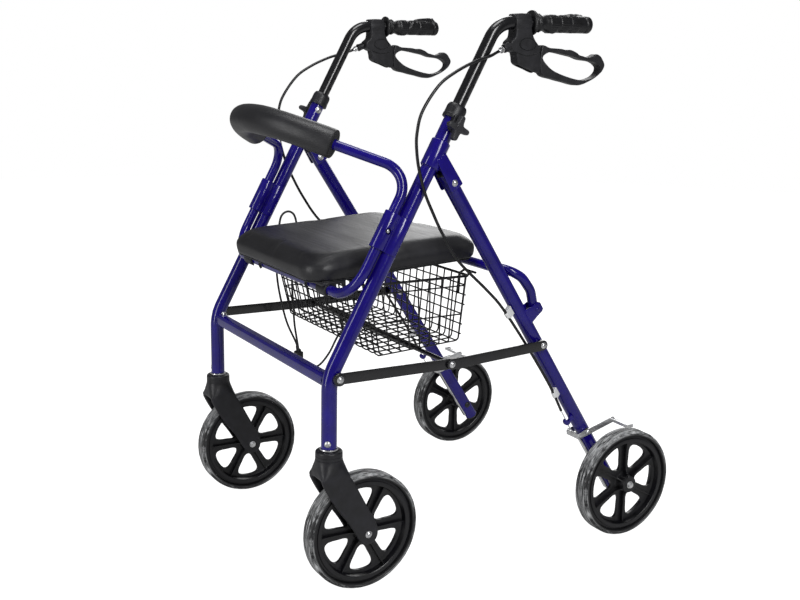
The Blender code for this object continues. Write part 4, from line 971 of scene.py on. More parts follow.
def grip(side, word):
    """Moulded grip: ring flange, neck, ribbed pads, a low bump, a spiral thumb fin and an end cap."""
    body, length = f"handle_{word}", GRIP_Y[1] - GRIP_Y[0]
    steps, sides = 170, 112
    inward = 180.0 if side > 0 else 0.0
    turn_back = 35.0 if side > 0 else 0.0
    bm = bmesh.new()
    rings = []
    for i in range(steps + 1):
        s = i / steps * length
        flange = math.exp(-((s - 0.0035) / 0.0030) ** 4) + 0.16 * math.exp(-((s - 0.0135) / 0.0025) ** 4)
        waist = 0.0017 * math.exp(-((s - 0.0240) / 0.0060) ** 2)
        groove = 0.0016 * math.exp(-((s - (length - 0.0130)) / 0.0012) ** 2)
        end = max(0.0, s - (length - 0.0045)) / 0.0045
        base = 0.0140 + 0.0062 * flange - waist - groove - 0.0040 * end ** 2
        fin_angle = np.interp(s, FIN_AT, FIN_ANGLE) - turn_back
        fin_height = np.interp(s, FIN_AT, FIN_RISE)
        heading = math.radians(inward - fin_angle if side > 0 else inward + fin_angle)
        row = []
        for k in range(sides):
            angle = 2 * math.pi * k / sides
            below = max(0.0, -math.sin(angle))
            bump = 0.0016 * below ** 3 * math.exp(-((s - 0.0400) / 0.0100) ** 4)
            pad = 0.0
            for middle_s, half_s in PADS:
                far = abs(s - middle_s) / half_s
                if far < 1.0:
                    pad = (1 - far ** 8) * (0.00085 + 0.00035 * math.cos(angle * 26))
            pad *= 1.0 if abs(math.cos(angle)) > 0.30 else 0.0
            off = (angle - heading + math.pi) % (2 * math.pi) - math.pi
            fin = fin_height * math.exp(-(off / 0.22) ** 2)
            radius = base + bump + pad + fin
            row.append(bm.verts.new((side * LEG_X + radius * math.cos(angle), GRIP_Y[0] + s,
                                     HANDLE_Z + 0.0010 + radius * math.sin(angle))))
        rings.append(row)
    grip_body = skinned(f"grip_sleeve_{word}", bm, rings)
    bore = cylinder("bore", at(side, 0, (GRIP_Y[0] - 0.01, HANDLE_Z)),
                    at(side, 0, (GRIP_Y[1] - 0.0050, HANDLE_Z)), HANDLE_R + 0.0002, 48)
    put(smooth(carve(grip_body, [bore]), 45), body, GRIP, f"grip_{word}")
    plug = turned(f"grip_plug_{word}", [(0, 0.0006), (0.0050, 0.0005), (0.0074, 0.0001), (0.0074, -0.0012),
                                        (0, -0.0012)], at(side, 0, (GRIP_Y[1], HANDLE_Z)), (0, 1, 0), 40)
    put(smooth(plug), body, GRIP)


def brake_housing(side, word):
    """Moulded bracket: strap, face with an engraved oval, a set-back chin and the adjuster's boss."""
    body = f"handle_{word}"
    face = spline_loop([(0.0040, 0.9240), (0.0060, 0.9290), (0.0180, 0.9300), (0.0310, 0.9290),
                        (0.0338, 0.9230), (0.0342, 0.9100), (0.0366, 0.8990), (0.0420, 0.8890),
                        (0.0490, 0.8815), (0.0530, 0.8740), (0.0500, 0.8680), (0.0390, 0.8655),
                        (0.0260, 0.8640), (0.0130, 0.8665), (0.0000, 0.8715), (-0.0055, 0.8780),
                        (-0.0052, 0.8850), (0.0030, 0.8930), (0.0045, 0.9060)], 5)
    shell = plate(f"housing_shell_{word}", [face], *span(side, -0.0126, 0.0126), 0.0020, 4)
    strap = cylinder("strap", at(side, 0, (0.0035, HANDLE_Z)), at(side, 0, (0.0340, HANDLE_Z)), 0.0139, 56,
                     0.0012)
    chin = plate("chin", [spline_loop([(0.0100, 0.8730), (0.0460, 0.8730), (0.0545, 0.8690), (0.0560, 0.8560),
                                       (0.0566, 0.8420), (0.0510, 0.8365), (0.0330, 0.8425), (0.0130, 0.8500),
                                       (0.0090, 0.8600)], 5)], *span(side, -0.0102, 0.0102), 0.0018, 4)
    way = adjuster_way(side)
    foot = at(side, ADJUSTER_X, ADJUSTER_AT)
    boss = cylinder("boss", foot - way * 0.0150, foot - way * 0.0002, 0.0064, 40, 0.0008)
    collar = turned("collar", fillets([(0.0070, 0.0020), (0.0070, -0.0016), (0.0050, -0.0016),
                                       (0.0050, 0.0020)], 0.0006), foot - way * 0.0030, way, 40)
    shell = carve(shell, [strap, chin, boss, collar], "UNION")
    bar = cylinder("bar", at(side, 0, (-0.02, HANDLE_Z)), at(side, 0, (0.08, HANDLE_Z)), HANDLE_R + 0.0002,
                   48)
    low, high = span(side, -0.0066, 0.0066)
    slot = box("slot", (low, 0.0140, 0.8300), (high, 0.0700, 0.8935))
    turns = np.linspace(0, 2 * math.pi, 49)[:-1]
    ovals = [[(LEVER_PIVOT.x + across * math.cos(a), LEVER_PIVOT.y + above * math.sin(a)) for a in turns]
             for across, above in ((0.0170, 0.0105), (0.0152, 0.0087))]
    grooves = [plate(f"oval_{face}", ovals, *span(side, *reach))
               for face, reach in (("outer", (0.0112, 0.0140)), ("inner", (-0.0140, -0.0112)))]
    slit = box("slit", (side * LEG_X - 0.0006, 0.000, 0.9220), (side * LEG_X + 0.0006, 0.060, 0.9400))
    shell = smooth(carve(shell, [bar, slot, slit] + grooves), 35)
    put(shell, body, HOUSING, f"brake_housing_{word}")
    pin = cylinder(f"lever_pin_{word}", at(side, -0.0110, LEVER_PIVOT), at(side, 0.0110, LEVER_PIVOT), 0.0034,
                   32, 0.0004)
    put(smooth(pin), body, ZINC)


def brake_lever(side, word):
    """Loop lever: a narrow root in the housing, and a closed loop with low finger bumps."""
    hub = [(LEVER_PIVOT.x + 0.0104 * math.cos(a), LEVER_PIVOT.y + 0.0104 * math.sin(a))
           for a in np.linspace(math.radians(80), math.radians(235), 9)]
    lower_edge = [(0.0897, 0.8263), (0.1135, 0.8214), (0.1255, 0.8187), (0.1375, 0.8170), (0.1494, 0.8188),
                  (0.1612, 0.8231), (0.1729, 0.8282), (0.1846, 0.8356), (0.1914, 0.8422)]
    upper_edge = [(0.1951, 0.8514), (0.1900, 0.8606), (0.1850, 0.8660), (0.1771, 0.8690), (0.1700, 0.8660),
                  (0.1630, 0.8638), (0.1550, 0.8634), (0.1485, 0.8650), (0.1400, 0.8668), (0.1338, 0.8705),
                  (0.1260, 0.8735), (0.1193, 0.8750), (0.1100, 0.8747), (0.1005, 0.8762), (0.0772, 0.8772)]
    inner = [(0.0625, 0.8586), (0.0640, 0.8650), (0.0756, 0.8704), (0.0920, 0.8697), (0.1159, 0.8657),
             (0.1304, 0.8632), (0.1452, 0.8589), (0.1697, 0.8563), (0.1835, 0.8490), (0.1850, 0.8425),
             (0.1810, 0.8362), (0.1725, 0.8304), (0.1610, 0.8270), (0.1474, 0.8255), (0.1279, 0.8280),
             (0.1037, 0.8340),
             (0.0844, 0.8409), (0.0722, 0.8489)]
    root = plate(f"lever_loop_{word}", [hub + [(0.0340, 0.8580), (0.0560, 0.8390), (0.0700, 0.8330),
                                               (0.0700, 0.8776), (0.0560, 0.8794)]],
                 *span(side, -0.0055, 0.0055), 0.0012, 3)
    loop = plate("loop", [spline_loop([(0.0600, 0.8366)] + lower_edge + upper_edge + [(0.0600, 0.8786)], 4)],
                 *span(side, -0.0085, 0.0085), 0.0020, 4)
    root = carve(root, [loop], "UNION")
    gap = plate("gap", [spline_loop(inner, 4)], *span(side, -0.02, 0.02))
    lever = carve(root, [gap])
    put(smooth(lever, 40), f"lever_{word}", HOUSING, f"brake_lever_{word}")


ADJUSTER_AT, ADJUSTER_X = Vector((-0.0168, 0.8736)), 0.0070
ADJUSTER_LENGTH = 0.0105


def adjuster_way(side):
    return Vector((side * 0.10, -0.925, -0.365)).normalized()


def cable_adjuster(side, word):
    origin, way = at(side, ADJUSTER_X, ADJUSTER_AT), adjuster_way(side)
    profile = [(0, ADJUSTER_LENGTH), (0.0026, ADJUSTER_LENGTH), (0.0031, ADJUSTER_LENGTH - 0.0008),
               (0.0033, 0.0068), (0.0051, 0.0064), (0.0051, 0.0026), (0.0040, 0.0022)]
    for i in range(4):
        profile += [(0.0036, 0.0020 - i * 0.0006), (0.0031, 0.0017 - i * 0.0006)]
    profile.append((0, -0.0003))
    barrel = turned(f"adjuster_barrel_{word}", profile, origin, way, 40)
    put(smooth(barrel, 30), f"handle_{word}", ZINC, f"cable_adjuster_{word}")


CABLE_ROUTE = [(0.0145, -0.0480, 0.8620), (0.0165, -0.0780, 0.8530), (0.0180, -0.1140, 0.8370),
               (0.0185, -0.1450, 0.8160), (0.0190, -0.1740, 0.7770), (0.0190, -0.1830, 0.7430),
               (0.0190, -0.1825, 0.7150), (0.0190, -0.1770, 0.6850), (0.0190, -0.1660, 0.6510),
               (0.0190, -0.1510, 0.6200), (0.0180, -0.1300, 0.5830), (0.0155, -0.0970, 0.5370),
               (0.0130, -0.0370, 0.4830), (0.0110, -0.0040, 0.4510), (0.0090, 0.0380, 0.3985),
               (0.0090, 0.0760, 0.3460), (0.0095, 0.1130, 0.2910), (0.0085, 0.1400, 0.2440)]
CABLE_R = 0.0025
CABLE_SPLIT = 9                 # the route point where the upper and the lower stretch meet


def brake_cable(side, word):
    """The cable in two stretches that meet end to end beside the leg, so that each bends at one joint."""
    way = adjuster_way(side)
    start = at(side, ADJUSTER_X, ADJUSTER_AT) + way * (ADJUSTER_LENGTH + 0.0003)
    points = [start, start + way * 0.006] + [at(side, offset, (y, z)) for offset, y, z in CABLE_ROUTE]
    fine = smooth_route(points, 17 * (len(points) - 1))
    cut = 17 * CABLE_SPLIT
    for stretch, route, body, start_at, end_at in (
            ("upper", fine[:cut + 1], f"handle_{word}", 2, CABLE_SPLIT - 1),
            ("lower", fine[cut:], "rear_frame", CABLE_SPLIT + 1, 15)):
        run = tube(f"cable_{stretch}_{word}", route, CABLE_R, 20)
        run.data.materials.append(CABLE)
        if stretch == "upper":
            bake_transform(run)
        else:
            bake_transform(run)
        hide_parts(f"brake_cable_{word}")


# ---------------------------------------------------------------- casters and wheels
WHEEL_WINDOWS, RIB_HALF = 6, 0.0012
TYRE_R, TYRE_HALF = 0.100, 0.0157
GROOVE_AT = 0.0045              # the tread's two grooves, from the wheel's middle plane


def turned_xy(x, y, angle):
    """(x, y) turned about the origin."""
    return x * math.cos(angle) - y * math.sin(angle), x * math.sin(angle) + y * math.cos(angle)


def wheel(name, centre, body, rim_node, tyre_node, start_deg, hub_half):
    """Moulded wheel: hub, recessed web with six openings and ribs, deep ring, and a grooved tyre."""
    web, ring_in, ring_half, rim_r = 0.0026, 0.0765, 0.0135, 0.0899
    profile = [(0.0150, hub_half), (0.0158, hub_half * 0.5), (0.0185, web + 0.0012), (0.0230, web)]
    profile += [(ring_in - 0.004, web), (ring_in - 0.0005, web + 0.0014), (ring_in + 0.0005, web + 0.004),
                (ring_in + 0.0016, ring_half - 0.0008), (ring_in + 0.0026, ring_half),
                (rim_r - 0.0046, ring_half), (rim_r - 0.0040, ring_half - 0.0022),
                (rim_r, ring_half - 0.0024)]
    full = profile + [(r, -h) for r, h in reversed(profile)] + [(0.0044, -hub_half), (0.0044, hub_half)]
    rim = turned(f"{name}_rim", full, (0, 0, 0), (0, 0, 1), 96)
    shape = [(0.0278, 0.0), (0.0320, 0.0070), (0.0430, 0.0130), (0.0540, 0.0188), (0.0620, 0.0208),
             (0.0680, 0.0176), (0.0708, 0.0088), (0.0714, 0.0)]
    window = spline_loop(shape + [(x, -y) for x, y in reversed(shape[1:-1])], 4)
    cutters = []
    for i in range(WHEEL_WINDOWS):
        edge = [turned_xy(x, y, 2 * math.pi * i / WHEEL_WINDOWS) for x, y in window]
        cutters.append(lofted(f"window_{i}", [(edge, -0.01), (edge, 0.01)]))
    rim = carve(rim, cutters)
    rim = soften(rim, 0.0006, 2, 50)
    outline = [(0.0135, hub_half - 0.002), (0.0260, 0.0098), (0.0480, 0.0085), (0.0772, 0.0090),
               (0.0772, -0.0090), (0.0480, -0.0085), (0.0260, -0.0098), (0.0135, -hub_half + 0.002)]
    ribs = []
    for i in range(WHEEL_WINDOWS):
        angle = 2 * math.pi * (i + 0.5) / WHEEL_WINDOWS
        bm = bmesh.new()
        rows = [[bm.verts.new((*turned_xy(x, s, angle), h)) for x, h in outline]
                for s in (-RIB_HALF, RIB_HALF)]
        bm.faces.new(rows[0])
        bm.faces.new(list(reversed(rows[1])))
        for k in range(len(outline)):
            j = (k + 1) % len(outline)
            bm.faces.new((rows[0][j], rows[0][k], rows[1][k], rows[1][j]))
        bmesh.ops.recalc_face_normals(bm, faces=bm.faces)
        bmesh.ops.bevel(bm, geom=list(bm.edges), offset=0.0004, segments=2, affect="EDGES", profile=0.5)
        ribs.append(mesh_object(f"rib_{i}", bm))
    rim = join(rim, *ribs)
    turn = Matrix.Rotation(math.radians(start_deg), 4, "X") @ Matrix.Rotation(math.radians(90), 4, "Y")
    rim.data.transform(Matrix.Translation(Vector(centre)) @ turn)
    put(smooth(rim, 32), body, RIM, rim_node)
    half, r = TYRE_HALF, TYRE_R
    tread = [(r - 0.0075, half - 0.0002), (r - 0.0040, half - 0.0004), (r - 0.0016, half - 0.0018),
             (r - 0.0004, half - 0.0042), (r, half - 0.0060)]
    groove = [(r, GROOVE_AT + 0.0011), (r - 0.0011, GROOVE_AT + 0.0007), (r - 0.0011, GROOVE_AT - 0.0007),
              (r, GROOVE_AT - 0.0011)]
    side_wall = [(0.0902, half - 0.0042), (0.0908, half - 0.0012), (0.0918, half - 0.0002)]
    top = side_wall + tread + groove
    full = top + [(a, -b) for a, b in reversed(top)]
    tyre_obj = turned(f"{name}_tyre", full, (0, 0, 0), (1, 0, 0), 128)
    bm = bmesh.new()
    bm.from_mesh(tyre_obj.data)
    for v in bm.verts:
        out = Vector((0, v.co.y, v.co.z))
        if out.length > 0.0925:
            v.co -= out.normalized() * (0.0003 + 0.0003 * noise.noise(v.co * 90.0))
    bm.to_mesh(tyre_obj.data)
    bm.free()
    tyre_obj.location = centre
    put(smooth(tyre_obj, 32), body, TYRE, tyre_node)


def fork_shoulder(side, stem_y, half_x):
    """The flare from the fork's round collar to its two blades."""
    bm = bmesh.new()
    for i in range(56):
        angle = 2 * math.pi * i / 56
        bm.verts.new((side * LEG_X + 0.0219 * math.cos(angle), stem_y + 0.0219 * math.sin(angle), 0.2315))
    for z, grow in ((0.2120, 0.0), (0.2010, 0.0002)):
        for sx in (-1, 1):
            for y, inset in ((-0.3455, 0.008), (-0.3410, 0.0025), (-0.3370, 0.0), (-0.3030, 0.0),
                             (-0.2985, 0.0025), (-0.2960, 0.008)):
                bm.verts.new((side * LEG_X + sx * (half_x + grow - inset), y, z))
    bmesh.ops.convex_hull(bm, input=bm.verts)
    return mesh_object("shoulder", bm)


def caster_fork(side, word):
    """One-piece moulded fork: grooved collar flowing into two wide blades raked back to the axle."""
    body = f"caster_{word}"
    node_low, node_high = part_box(f"caster_fork_{word}")
    inner, outer = 0.0192, node_high.x - LEG_X if side > 0 else -node_low.x - LEG_X
    stem = Vector((LEG_FOOT.x, node_high.z))
    fork = cylinder(f"fork_{word}", at(side, 0, (stem.x, 0.2120)), at(side, 0, (stem.x, stem.y - 0.0006)),
                    0.0221, 64, 0.0010)
    parts = [fork_shoulder(side, stem.x, outer - 0.0004)]
    for sign in (1, -1):
        outline = spline_loop([(-0.3460, 0.2080), (-0.3440, 0.1960), (-0.3290, 0.1680), (-0.3090, 0.1390),
                               (-0.2930, 0.1160), (-0.2835, 0.1000), (-0.2780, 0.0900), (-0.2710, 0.0830),
                               (-0.2615, 0.0808), (-0.2515, 0.0840), (-0.2450, 0.0930), (-0.2440, 0.1060),
                               (-0.2490, 0.1200), (-0.2640, 0.1480), (-0.2820, 0.1820), (-0.2940, 0.2040),
                               (-0.2970, 0.2120), (-0.3220, 0.2150)], 4)
        parts.append(plate(f"blade_{sign}", [outline], *span(side, sign * inner, sign * outer), 0.0022, 3))
    fork = carve(fork, parts, "UNION")
    melt = fork.modifiers.new("remesh", "REMESH")
    melt.mode = "VOXEL"
    melt.voxel_size = 0.0014
    ease = fork.modifiers.new("ease", "SMOOTH")
    ease.factor = 0.5
    ease.iterations = 22
    fork = baked(fork)
    flare = fork.vertex_groups.new(name="flare")
    flare.add([v.index for v in fork.data.vertices if 0.1985 < v.co.z < 0.2290], 1.0, "REPLACE")
    ease = fork.modifiers.new("ease_flare", "SMOOTH")
    ease.vertex_group = flare.name
    ease.factor = 0.5
    ease.iterations = 70
    fork = baked(fork)
    cutters = []
    for z in (0.2385, 0.2330):
        cutters.append(turned(f"groove_{z}", [(0.0250, 0.0008), (0.0250, -0.0008), (0.0214, -0.0005),
                                              (0.0214, 0.0005)], (side * LEG_X, stem.x, z), (0, 0, 1), 64))
    cutters.append(cylinder("wheel_gap", at(side, -0.0188, FRONT_AXLE), at(side, 0.0188, FRONT_AXLE), 0.1035,
                            96))
    cutters.append(cylinder("axle", at(side, -0.05, FRONT_AXLE), at(side, 0.05, FRONT_AXLE), 0.0045, 24))
    fork = carve(fork, cutters)
    put(smooth(fork, 38), body, SATIN, f"caster_fork_{word}")
    washer = turned(f"stem_washer_{word}", [(0.0146, 0.0012), (0.0149, 0.0004), (0.0149, -0.0008),
                                            (0.0052, -0.0008), (0.0052, 0.0012)],
                    (side * LEG_X, stem.x, LEG_FOOT.y - 0.0017), (0, 0, 1), 48)
    put(smooth(washer, 30), "front_frame", ZINC, f"caster_bolt_{word}")
    head = screw_head(f"axle_head_{word}", at(side, outer + 0.0006, FRONT_AXLE), (side, 0, 0), 0.0054, 0.0036)
    nut = hex_nut("axle_nut", at(side, -outer - 0.0006, FRONT_AXLE), (-side, 0, 0), 0.0056, 0.0038)
    shaft = cylinder("shaft", at(side, -outer, FRONT_AXLE), at(side, outer, FRONT_AXLE), 0.0038, 24)
    put(smooth(join(head, nut, shaft), 30), body, ZINC, f"front_axle_{word}")


# ---------------------------------------------------------------- rear frame
def front_edge(height):
    """A point just inside the rear leg's front edge."""
    return PIVOT + DOWN * ((PIVOT.y - height) / -DOWN.y) - BACK * (LEG_R * 0.75)


def cable_clip(side, word, number, spot):
    """White clip: a block on the leg's outer face with a sleeve round the cable."""
    way = Vector((0, *DOWN))
    route = [at(side, offset, (y, z)) for offset, y, z in CABLE_ROUTE]
    fine = smooth_route(route, 400)
    near = min(fine, key=lambda p: abs((Vector((p.y, p.z)) - spot) @ DOWN))
    ahead = min(fine, key=lambda p: abs((Vector((p.y, p.z)) - spot) @ DOWN - 0.006))
    run = (ahead - near).normalized()
    sleeve = turned("sleeve", fillets([(CABLE_R + 0.0002, 0.0050), (CABLE_R + 0.0017, 0.0050),
                                       (CABLE_R + 0.0017, -0.0050), (CABLE_R + 0.0002, -0.0050)], 0.0004, 2),
                    near, run, 40)
    seat = at(side, 0.0, spot) + (near - at(side, 0.0, spot)) * 0.52
    middle_at = (seat + near) / 2
    reach = (near - seat)
    block = box("block", (-0.0040, -reach.length / 2, -0.0088), (0.0040, reach.length / 2, 0.0088), 0.0012, 3)
    turn = Matrix((way.cross(reach).normalized(), reach.normalized(), way)).transposed()
    block.data.transform(Matrix.Translation(middle_at) @ turn.to_4x4())
    clip = join(sleeve, block)
    clip.name = f"cable_clip_{number}_{word}"
    put(smooth(clip, 35), "rear_frame", CLIP_WHITE)


def rear_leg(side, word):
    top, bottom = PIVOT - DOWN * 0.019, REAR_AXLE + DOWN * 0.036
    leg = cylinder(f"rear_tube_{word}", at(side, 0, top), at(side, 0, bottom), LEG_R, 64)
    bm = bmesh.new()
    bm.from_mesh(leg.data)
    rails = [e for e in bm.edges if (e.verts[0].co - e.verts[1].co).length > 0.3]
    bmesh.ops.subdivide_edges(bm, edges=rails, cuts=160)
    for v in bm.verts:
        along = (Vector((v.co.y, v.co.z)) - LINK_REAR).dot(DOWN)
        dent = 0.0016 * math.exp(-(along / 0.017) ** 2)
        off = v.co.x - side * LEG_X
        limit = LEG_R - dent
        if abs(off) > limit:
            v.co.x = side * LEG_X + math.copysign(limit, off)
    bm.to_mesh(leg.data)
    bm.free()
    put(smooth(join(leg, bail_ear(side), cable_hook(side)), 40), "rear_frame", BLUE, f"rear_leg_{word}")
    for end, place, way in (("top", top, -DOWN), ("foot", bottom, DOWN)):
        cap = turned(f"leg_plug_{end}_{word}", fillets([(0, 0.0034), (0.0110, 0.0034), (0.0129, 0.0010),
                                                        (0.0129, -0.0010), (0, -0.0010)], 0.0012),
                     at(side, 0, place), Vector((0, *way)), 48)
        put(smooth(cap, 35), "rear_frame", SATIN)
    shaft = cylinder(f"rear_axle_rod_{word}", at(side, -0.0128, REAR_AXLE),
                     (side * (REAR_WHEEL_X + 0.0230), *REAR_AXLE), 0.0038, 24)
    outer = hex_nut("nut", (side * (REAR_WHEEL_X + 0.0217), *REAR_AXLE), (side, 0, 0), 0.0060, 0.0052)
    put(smooth(join(shaft, outer), 30), "rear_frame", ZINC, f"rear_axle_{word}")
    inner = screw_head(f"rear_axle_cap_{word}", at(side, -0.0131, REAR_AXLE), (-side, 0, 0), 0.0060, 0.0040,
                       "none")
    put(inner, "rear_frame", SATIN)
    spacer = turned(f"axle_spacer_{word}", fillets([(0.0044, 0.0105), (0.0085, 0.0105), (0.0085, 0.0),
                                                    (0.0044, 0.0)], 0.0006), at(side, 0.0129, REAR_AXLE),
                    (side, 0, 0), 40)
    put(smooth(spacer, 30), "rear_frame", SATIN)
    for i, height in enumerate((0.4500, 0.2880)):
        spot = PIVOT + DOWN * ((PIVOT.y - height) / -DOWN.y)
        cable_clip(side, word, i, spot)


def bail_ear(side):
    """A strap folded round the back of the leg, whose two sides hold the bail's bolt."""
    foot = PIVOT + DOWN * ((BAIL_PIVOT - PIVOT) @ DOWN)
    outline = off_leg(foot, (-0.015, 0.004), (0.015, 0.004))
    outline += off_leg(BAIL_PIVOT, (0.0115, -0.006), (0.0100, 0.0070), (0.0070, 0.0110), (-0.0060, 0.0112),
                       (-0.0100, 0.0080), (-0.0110, -0.006))
    sides = [plate(f"ear_{i}", [outline], *span(side, a, b), 0.0009, 3)
             for i, (a, b) in enumerate(((-0.0120, -0.0094), (0.0094, 0.0120)))]
    return join(*sides)


def cable_hook(side):
    """Curled tab that stops the brake cable's jacket."""
    root = front_edge(0.2385)
    outline = off_leg(root, (0.0005, 0), (0.0110, 0), (0.0090, -0.0060), (0.0120, -0.0140), (0.0080, -0.0200),
                      (0.0005, -0.0200), (-0.0020, -0.0150), (0.0030, -0.0130), (0.0045, -0.0085),
                      (-0.0010, -0.0040))
    return plate("hook", [spline_loop(outline, 4)], *span(side, 0.0052, 0.0118), 0.0010, 3)


def seat_bail():
    half = [at(1, 0, BAIL_PIVOT), at(1, 0, (0.0650, 0.4700)), at(1, 0, (0.0455, 0.4945)),
            at(1, -0.0080, (0.0235, 0.5085)), Vector((0.196, BAIL_TOP.x, BAIL_TOP.y))]
    route = rounded(both_sides(half), 0.034, 12)
    put(tube("bail_bar", route, SEAT_TUBE_R, 40), "seat_bail", BLUE, "seat_bail")
    for word, side in SIDES.items():
        for end, offset, way in (("outer", 0.0121, 1), ("inner", -0.0121, -1)):
            put(screw_head(f"bail_bolt_{end}_{word}", at(side, offset, BAIL_PIVOT), (side * way, 0, 0),
                           0.0038, 0.0024, "none"), "seat_bail", BLUE)


def brake_arm(side, word):
    """Zinc brake arm: two thin side plates, a folded shoe bar over the tyre, bush and the cable's wire."""
    way = (SHOE - BRAKE_PIVOT).normalized()
    heel = BRAKE_PIVOT - way * 0.018
    arm = plate(f"brake_plate_{word}", [stadium(heel, SHOE, 0.0056, 12), ring(BRAKE_PIVOT, 0.0034, 24)],
                *span(side, 0.0146, 0.0170), 0.0005, 2)
    outer = REAR_WHEEL_X - LEG_X + 0.0157 + 0.004
    low, high = span(side, 0.0150, outer)
    shoe = box("shoe", (low, SHOE.x - 0.0072, SHOE.y - 0.0014), (high, SHOE.x + 0.0072, SHOE.y + 0.0010),
               0.0005, 2)
    lip_low, lip_high = span(side, outer - 0.0024, outer)
    lip = box("lip", (lip_low - side * 0.0002, SHOE.x - 0.0070, SHOE.y - 0.0012),
              (lip_high - side * 0.0002, SHOE.x + 0.0070, SHOE.y + 0.0046), 0.0005, 2)
    back_low, back_high = span(side, 0.0153, outer - 0.0003)
    back = box("back", (back_low, SHOE.x - 0.0074, SHOE.y - 0.0010),
               (back_high, SHOE.x - 0.0054, SHOE.y + 0.0044), 0.0005, 2)
    inner_plate = plate("inner", [stadium(heel, BRAKE_PIVOT + way * 0.012, 0.0056, 12)],
                        *span(side, -0.0170, -0.0146), 0.0005, 2)
    bridge_at = heel - way * 0.0038
    bridge = box("bridge", (side * LEG_X - 0.0168, bridge_at.x - 0.0013, bridge_at.y - 0.0050),
                 (side * LEG_X + 0.0168, bridge_at.x + 0.0013, bridge_at.y + 0.0050), 0.0005, 2)
    put(smooth(join(arm, shoe, lip, back, inner_plate, bridge), 32), f"brake_arm_{word}", ZINC,
        f"brake_arm_{word}")
    for end, offset, turn in (("outer", 0.0171, 1), ("inner", -0.0171, -1)):
        put(screw_head(f"brake_bolt_{end}_{word}", at(side, offset, BRAKE_PIVOT), (side * turn, 0, 0), 0.0044,
                       0.0028), f"brake_arm_{word}", ZINC)
    bush = cylinder(f"brake_bush_{word}", at(side, -0.0140, BRAKE_PIVOT), at(side, 0.0142, BRAKE_PIVOT),
                    0.0070, 40, 0.0006)
    put(smooth(bush, 35), f"brake_arm_{word}", SATIN)
    rod = smooth_route([at(side, 0.0085, (0.1415, 0.2415)), at(side, 0.0085, (0.1480, 0.2310)),
                        at(side, 0.0100, (0.1640, 0.2050)), at(side, 0.0125, heel)], 30)
    put(tube(f"brake_rod_{word}", rod, 0.0010, 16), "rear_frame", ZINC)
    blade = front_edge(0.1880)
    strip_end = front_edge(0.0800)
    out = BACK * (LEG_R * 0.25 + 0.0014)
    strip = plate(f"leg_strip_{word}", [stadium(blade - out, strip_end - out, 0.0013, 6)],
                  *span(side, -0.0040, 0.0040), 0.0004, 2)
    put(smooth(strip, 35), "rear_frame", ZINC)


# ---------------------------------------------------------------- fold linkage
def fold_bars(side, word):
    front = plate(f"fold_bar_front_{word}", [stadium(LINK_FRONT, LINK_MID, 0.009)],
                  *span(side, 0.0145, 0.0180), 0.0008)
    boss = cylinder("boss", at(side, 0.0150, LINK_FRONT), at(side, 0.0212, LINK_FRONT), 0.0106, 48, 0.0010)
    put(smooth(join(front, boss), 35), "links_front", BLACK, f"front_link_{word}")
    put(screw_head(f"fold_bolt_front_{word}", at(side, 0.0214, LINK_FRONT), (side, 0, 0), 0.0054, 0.0034),
        "links_front", ZINC)
    rear = plate(f"fold_bar_rear_{word}", [stadium(LINK_MID, LINK_REAR, 0.009)], *span(side, 0.0185, 0.0220),
                 0.0008)
    spacer = cylinder("spacer", at(side, 0.0100, LINK_REAR), at(side, 0.0190, LINK_REAR), 0.0085, 40, 0.0006)
    put(smooth(join(rear, spacer), 35), "links_rear", BLACK, f"rear_link_{word}")
    for end, place in (("mid", LINK_MID), ("rear", LINK_REAR)):
        put(screw_head(f"fold_bolt_{end}_{word}", at(side, 0.0224, place), (side, 0, 0), 0.0052, 0.0034),
            "links_rear", ZINC)
    put(screw_head(f"fold_bolt_rear_inner_{word}", at(side, -LEG_R + 0.0012, LINK_REAR), (-side, 0, 0),
                   0.0056, 0.0032), "rear_frame", ZINC)


LUG_X = (-0.104, -0.130)
LUG_DROP = 0.0100


def cross_rod():
    reach = LEG_X + 0.0142
    rod = cylinder("fold_rod", (-reach, *LINK_MID), (reach, *LINK_MID), 0.0040, 32)
    lugs = []
    for i, x in enumerate(LUG_X):
        lugs.append(cylinder(f"lug_{i}", (x, LINK_MID.x, LINK_MID.y), (x, LINK_MID.x, LINK_MID.y - LUG_DROP),
                             0.0040, 28, 0.0008))
        lugs.append(cylinder(f"band_{i}", (x - 0.0045, *LINK_MID), (x + 0.0045, *LINK_MID), 0.0058, 32,
                             0.0008))
    put(smooth(join(rod, *lugs), 35), "links_front", BLACK, "fold_cross_rod")


# ---------------------------------------------------------------- seat
SEAT_PLACE = Matrix.Translation((0, *SEAT_PIVOT)) @ Matrix.Rotation(SEAT_TILT, 4, "X")
SEAT_MID_Y = 0.1255
CUSHION_LOW, CUSHION_HIGH = 0.0142, 0.0520
CLIP_X, CLIP_HALF = 0.150, 0.016
CLOTH_STIFFNESS, CLOTH_FRAMES = 18, 20


def outline_xy(half_x, half_y, corner, count=14):
    """A rectangle about the seat's middle, wide corners at the front and tighter ones behind, as (x, y)."""
    points = []
    for k, (sx, sy) in enumerate(((1, 1), (-1, 1), (-1, -1), (1, -1))):
        bend = corner * (1.55 if sy < 0 else 0.8)
        for i in range(count + 1):
            angle = math.pi / 2 * (k + i / count)
            points.append((sx * (half_x - bend) + bend * math.cos(angle),
                           SEAT_MID_Y + sy * (half_y - bend) + bend * math.sin(angle)))
    return points


def lofted(name, levels):
    """A closed body through outlines of equal count, each ((x, y) points, z)."""
    bm = bmesh.new()
    return skinned(name, bm, [[bm.verts.new((x, y, z)) for x, y in points] for points, z in levels])


